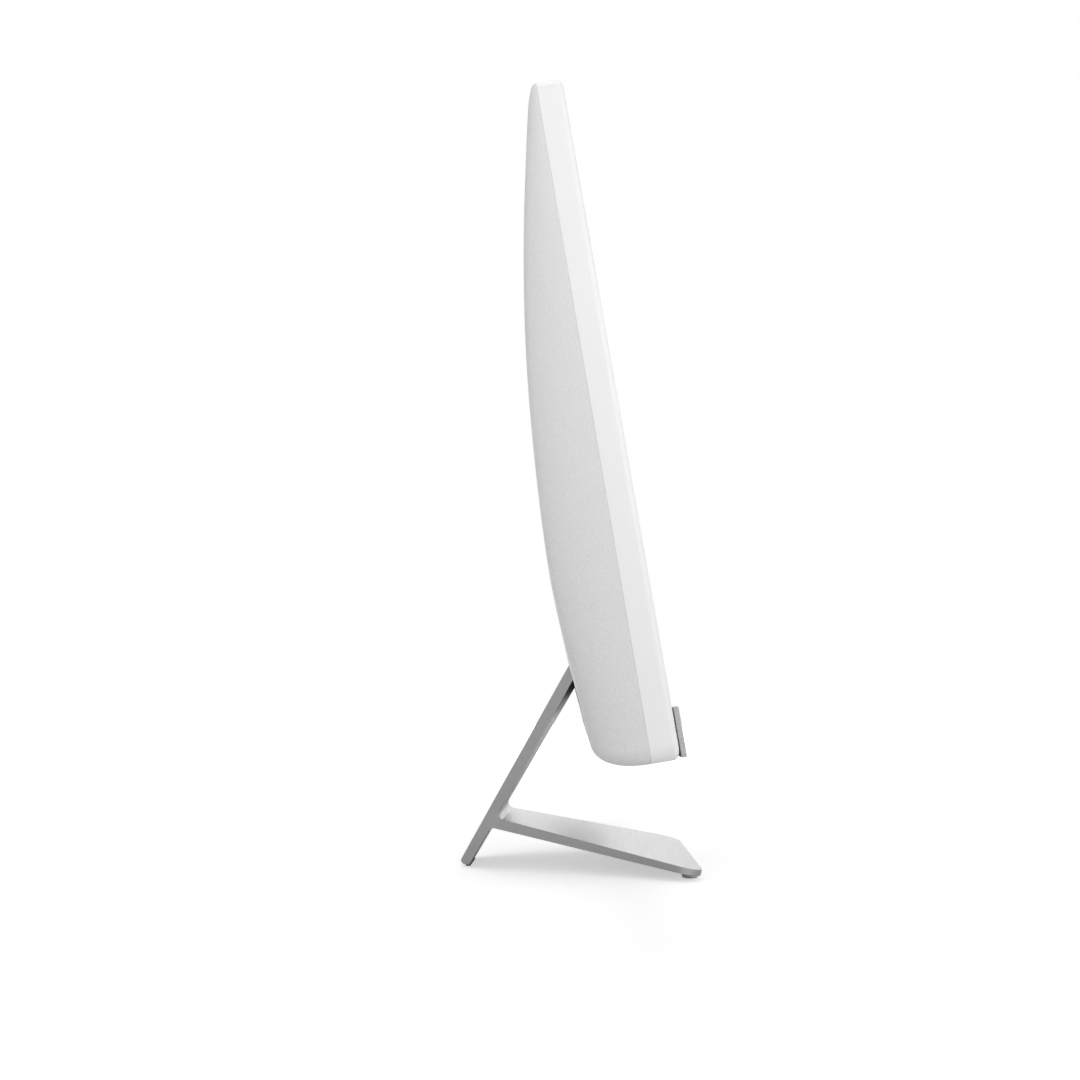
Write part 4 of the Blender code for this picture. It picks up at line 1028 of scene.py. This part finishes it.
def contacts(bm, count, pitch, width, x, n, s, material):
    """Row of flat contacts centred at x."""
    for i in range(count):
        middle = x + pitch * (i - (count - 1) / 2)
        box((middle - width / 2, middle + width / 2), n, s, bm=bm, material=material)


def make_port(name, node, bm, materials):
    """One connector with its own materials."""
    port = new_object(name, bm, display_to_row())
    finish_piece(port, *materials)
    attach(port, "display")
    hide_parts(node)


def make_usb_ports(steel, tongues, gold):
    """Two columns of two USB sockets, each column with its own colour of tongue."""
    number = 0
    for x, tongue in zip(USB_COLUMNS, tongues):
        for s in USB_ROWS:
            number += 1
            bm = socket_shell(rounded_block((x, s), (14.0, 7.0), 0.6),
                              rounded_block((x, s), (12.6, 5.4), 0.4))
            box((x - 5.3, x + 5.3), in_socket(SOCKET_DEPTH, 1.5), (s - 0.15, s + 1.75), bm=bm, material=1)
            contacts(bm, 4, 2.5, 1.2, x, in_socket(8.0, 2.0), (s - 0.35, s - 0.1), 2)
            make_port(f"usb_port_{number}", f"usb_socket_{number}", bm, (steel, tongue, gold))


def make_hdmi_port(steel, black, gold):
    """HDMI socket with its tongue and a row of contacts under it."""
    x, s = HDMI_X, PORT_MIDDLE
    bm = socket_shell(rounded_block((x, s), (15.4, 6.0), 0.8), rounded_block((x, s), (14.2, 4.6), 0.6))
    box((x - 5.5, x + 5.5), in_socket(SOCKET_DEPTH, 1.2), (s - 0.6, s + 0.6), bm=bm, material=1)
    contacts(bm, 10, 1.0, 0.5, x, in_socket(8.0, 1.6), (s - 0.72, s - 0.55), 2)
    make_port("hdmi_port", "hdmi_socket", bm, (steel, black, gold))


def make_network_port(steel, gold):
    """Network socket with its eight contacts along the top."""
    x, s = NETWORK_X, PORT_MIDDLE
    bm = socket_shell(rounded_block((x, s), (16.0, 14.0), 0.5), rounded_block((x, s), (12.0, 9.0), 0.3),
                      10.6)
    contacts(bm, 8, 1.02, 0.4, x, in_socket(10.4, 2.5), (s + 3.6, s + 3.9), 1)
    make_port("network_port", "network_socket", bm, (steel, gold))


def socket_rings(place, profile, steps):
    """Loops round a place from a profile of (radius, depth behind the mouth)."""
    return [at_depth(circle(place, radius, steps), SOCKET_MOUTH - depth) for radius, depth in profile]


def make_round_ports(black, steel):
    """Power inlet with its pin, and audio jack, each with a metal rim."""
    for name, node, x, outer, inner, pin in ROUND_SOCKETS:
        place = (x, PORT_MIDDLE)
        bm = socket_shell(circle(place, outer, SOCKET_STEPS), circle(place, inner, SOCKET_STEPS))
        rim = ((inner + 0.5, 0.0), (inner + 0.5, -0.12), (inner + 0.05, -0.12), (inner + 0.05, 2.0),
               (inner + 0.2, 2.0))
        loft(socket_rings(place, rim, SOCKET_STEPS), closed=True, bm=bm, material=1)
        if pin:
            tip = ((pin, SOCKET_DEPTH), (pin, 1.9), (0.6 * pin, 1.5))
            loft(socket_rings(place, tip, 20), bm=bm, material=1)
        make_port(name, node, bm, (black, steel))


# -------------------------------- room, camera and light

def make_world():
    """Surround: white where the camera looks at it, softer and shaped where it lights the object."""
    world = bpy.data.worlds.new("studio")
    world.use_nodes = True
    nodes = world.node_tree.nodes
    direction = nodes.new("ShaderNodeTexCoord").outputs["Generated"]
    axes = feed(nodes.new("ShaderNodeSeparateXYZ"), {"Vector": direction})
    ramp = nodes.new("ShaderNodeMapRange")
    ramp.interpolation_type = "SMOOTHSTEP"
    feed(ramp, {"Value": axes.outputs["Z"], "To Min": WORLD_GLOW[0], "To Max": WORLD_GLOW[1]})
    lighting = feed(nodes["Background"], {"Color": WHITE, "Strength": ramp.outputs["Result"]})
    backdrop = feed(nodes.new("ShaderNodeBackground"), {"Color": WHITE})
    path = nodes.new("ShaderNodeLightPath")
    pick = nodes.new("ShaderNodeMixShader")
    feed(pick, {"Fac": path.outputs["Is Camera Ray"], 1: lighting.outputs["Background"],
                2: backdrop.outputs["Background"]})
    feed(nodes["World Output"], {"Surface": pick.outputs["Shader"]})
    bpy.context.scene.world = world


def make_floor():
    """Pale floor that fades into the white surround with distance."""
    bm = bmesh.new()
    bmesh.ops.create_circle(bm, cap_ends=True, radius=FLOOR_RADIUS, segments=96)
    floor = new_object("studio_floor", bm, Matrix.Identity(4))
    surface = Surface("floor_paint", FLOOR_COLOUR, 0.9)
    surface.set("Emission Color", WHITE)
    surface.set("Specular IOR Level", 0.0)
    surface.vary_colour(surface.noise(2.0), tuple(0.995 * c for c in FLOOR_COLOUR))
    nodes = surface.nodes
    path = nodes.new("ShaderNodeLightPath")
    lift = nodes.new("ShaderNodeMath")
    lift.operation = "MULTIPLY"
    feed(lift, {0: path.outputs["Is Camera Ray"], 1: FLOOR_LIFT})
    feed(surface.shader, {"Emission Strength": lift.outputs["Value"]})
    length = nodes.new("ShaderNodeVectorMath")
    length.operation = "LENGTH"
    feed(length, {0: surface.place})
    fade = nodes.new("ShaderNodeMapRange")
    fade.interpolation_type = "SMOOTHSTEP"
    feed(fade, {"Value": length.outputs["Value"], "From Min": FLOOR_FADE[0], "From Max": FLOOR_FADE[1]})
    glow = feed(nodes.new("ShaderNodeEmission"), {"Strength": FLOOR_GLOW})
    mix = nodes.new("ShaderNodeMixShader")
    feed(mix, {"Fac": fade.outputs["Result"], 1: surface.shader.outputs["BSDF"],
               2: glow.outputs["Emission"]})
    feed(nodes["Material Output"], {"Surface": mix.outputs["Shader"]})
    floor.data.materials.append(surface.material)


def make_lights():
    """Large soft lamps, aimed at the middle of the object."""
    for name, place, size, power in LIGHTS:
        lamp = bpy.data.lights.new(name, "AREA")
        lamp.shape = "RECTANGLE"
        lamp.size, lamp.size_y = size
        lamp.energy = power
        thing = bpy.data.objects.new(name, lamp)
        thing.location = place
        aim = LIGHT_AIM - Vector(place)
        thing.rotation_euler = aim.to_track_quat("-Z", "Y").to_euler()
        bpy.context.scene.collection.objects.link(thing)


def make_camera():
    """Camera at the low side view, looking slightly up."""
    data = bpy.data.cameras.new("camera")
    data.lens = CAMERA_LENS
    data.sensor_width = CAMERA_SENSOR
    data.shift_x, data.shift_y = CAMERA_SHIFT
    data.clip_start, data.clip_end = CAMERA_RANGE
    camera = bpy.data.objects.new("camera", data)
    right = Vector((0.0, -1.0, 0.0))
    up = Vector((-math.sin(CAMERA_PITCH), 0.0, math.cos(CAMERA_PITCH)))
    back = Vector((-math.cos(CAMERA_PITCH), 0.0, -math.sin(CAMERA_PITCH)))
    turn = Matrix((right, up, back)).transposed().to_4x4()
    camera.matrix_world = Matrix.Translation(CAMERA_PLACE) @ turn
    bpy.context.scene.collection.objects.link(camera)
    bpy.context.scene.camera = camera


# -------------------------------- the whole picture

def make_finishes():
    """One material for each slot of the record."""
    return {
        "white_plastic": white_plastic(),
        "dark_plastic": dark_plastic(),
        "cover_plastic": cover_plastic(),
        "speaker_mesh": speaker_cloth(),
        "aluminium": metal("bare_aluminium", (0.62, 0.62, 0.63), 0.4, 300.0),
        "rubber": rubber(),
        "screen_glass": screen_glass(),
        "film": film(),
        "circuit_board": circuit_board(),
        "copper": metal("copper", (0.72, 0.38, 0.22), 0.32, 200.0),
        "chip": metal("nickel", (0.6, 0.59, 0.56), 0.3, 500.0),
        "steel": metal("steel", (0.5, 0.5, 0.5), 0.36, 300.0, (0.1, 1.0, 1.0)),
    }


def paint_cad_nodes(finishes):
    """Give every CAD node the material of its slot."""
    slots = {row["node"]: row["material_slot"] for row in frame["record"]["subparts"]}
    for name, node in frame["nodes"].items():
        node.data.materials.clear()
        node.data.materials.append(finishes[slots[name]])


def make_object(finishes):
    """Every outer piece of the computer."""
    white, dark, steel = (finishes[slot] for slot in ("white_plastic", "dark_plastic", "steel"))
    gold = metal("gold_contacts", (0.83, 0.62, 0.28), 0.25, 400.0)
    blue = dark_plastic("blue_plastic", (0.02, 0.07, 0.32), 0.42)
    border = dark_plastic("screen_border", (0.008, 0.008, 0.009), 0.2)
    make_stand(stand_metal())
    make_pads(rubber("pad_rubber", (0.50, 0.50, 0.50)))
    make_screen(finishes["screen_glass"], border)
    make_camera_window(lens_glass(), dark)
    make_usb_ports(steel, (blue, dark), gold)
    make_hdmi_port(steel, dark, gold)
    make_network_port(steel, gold)
    make_round_ports(dark, steel)
    make_rear_cover(finishes["cover_plastic"])
    make_slot_liner(dark)
    make_front_frame(white)
    make_power_key(white, lens_glass())
    make_speaker_bar(finishes["speaker_mesh"], dark)


def make_studio():
    """Surround, floor, lights and camera."""
    make_world()
    make_floor()
    make_lights()
    make_camera()
    bpy.context.scene.view_settings.view_transform = "Standard"


finishes = make_finishes()
paint_cad_nodes(finishes)
make_object(finishes)
make_studio()
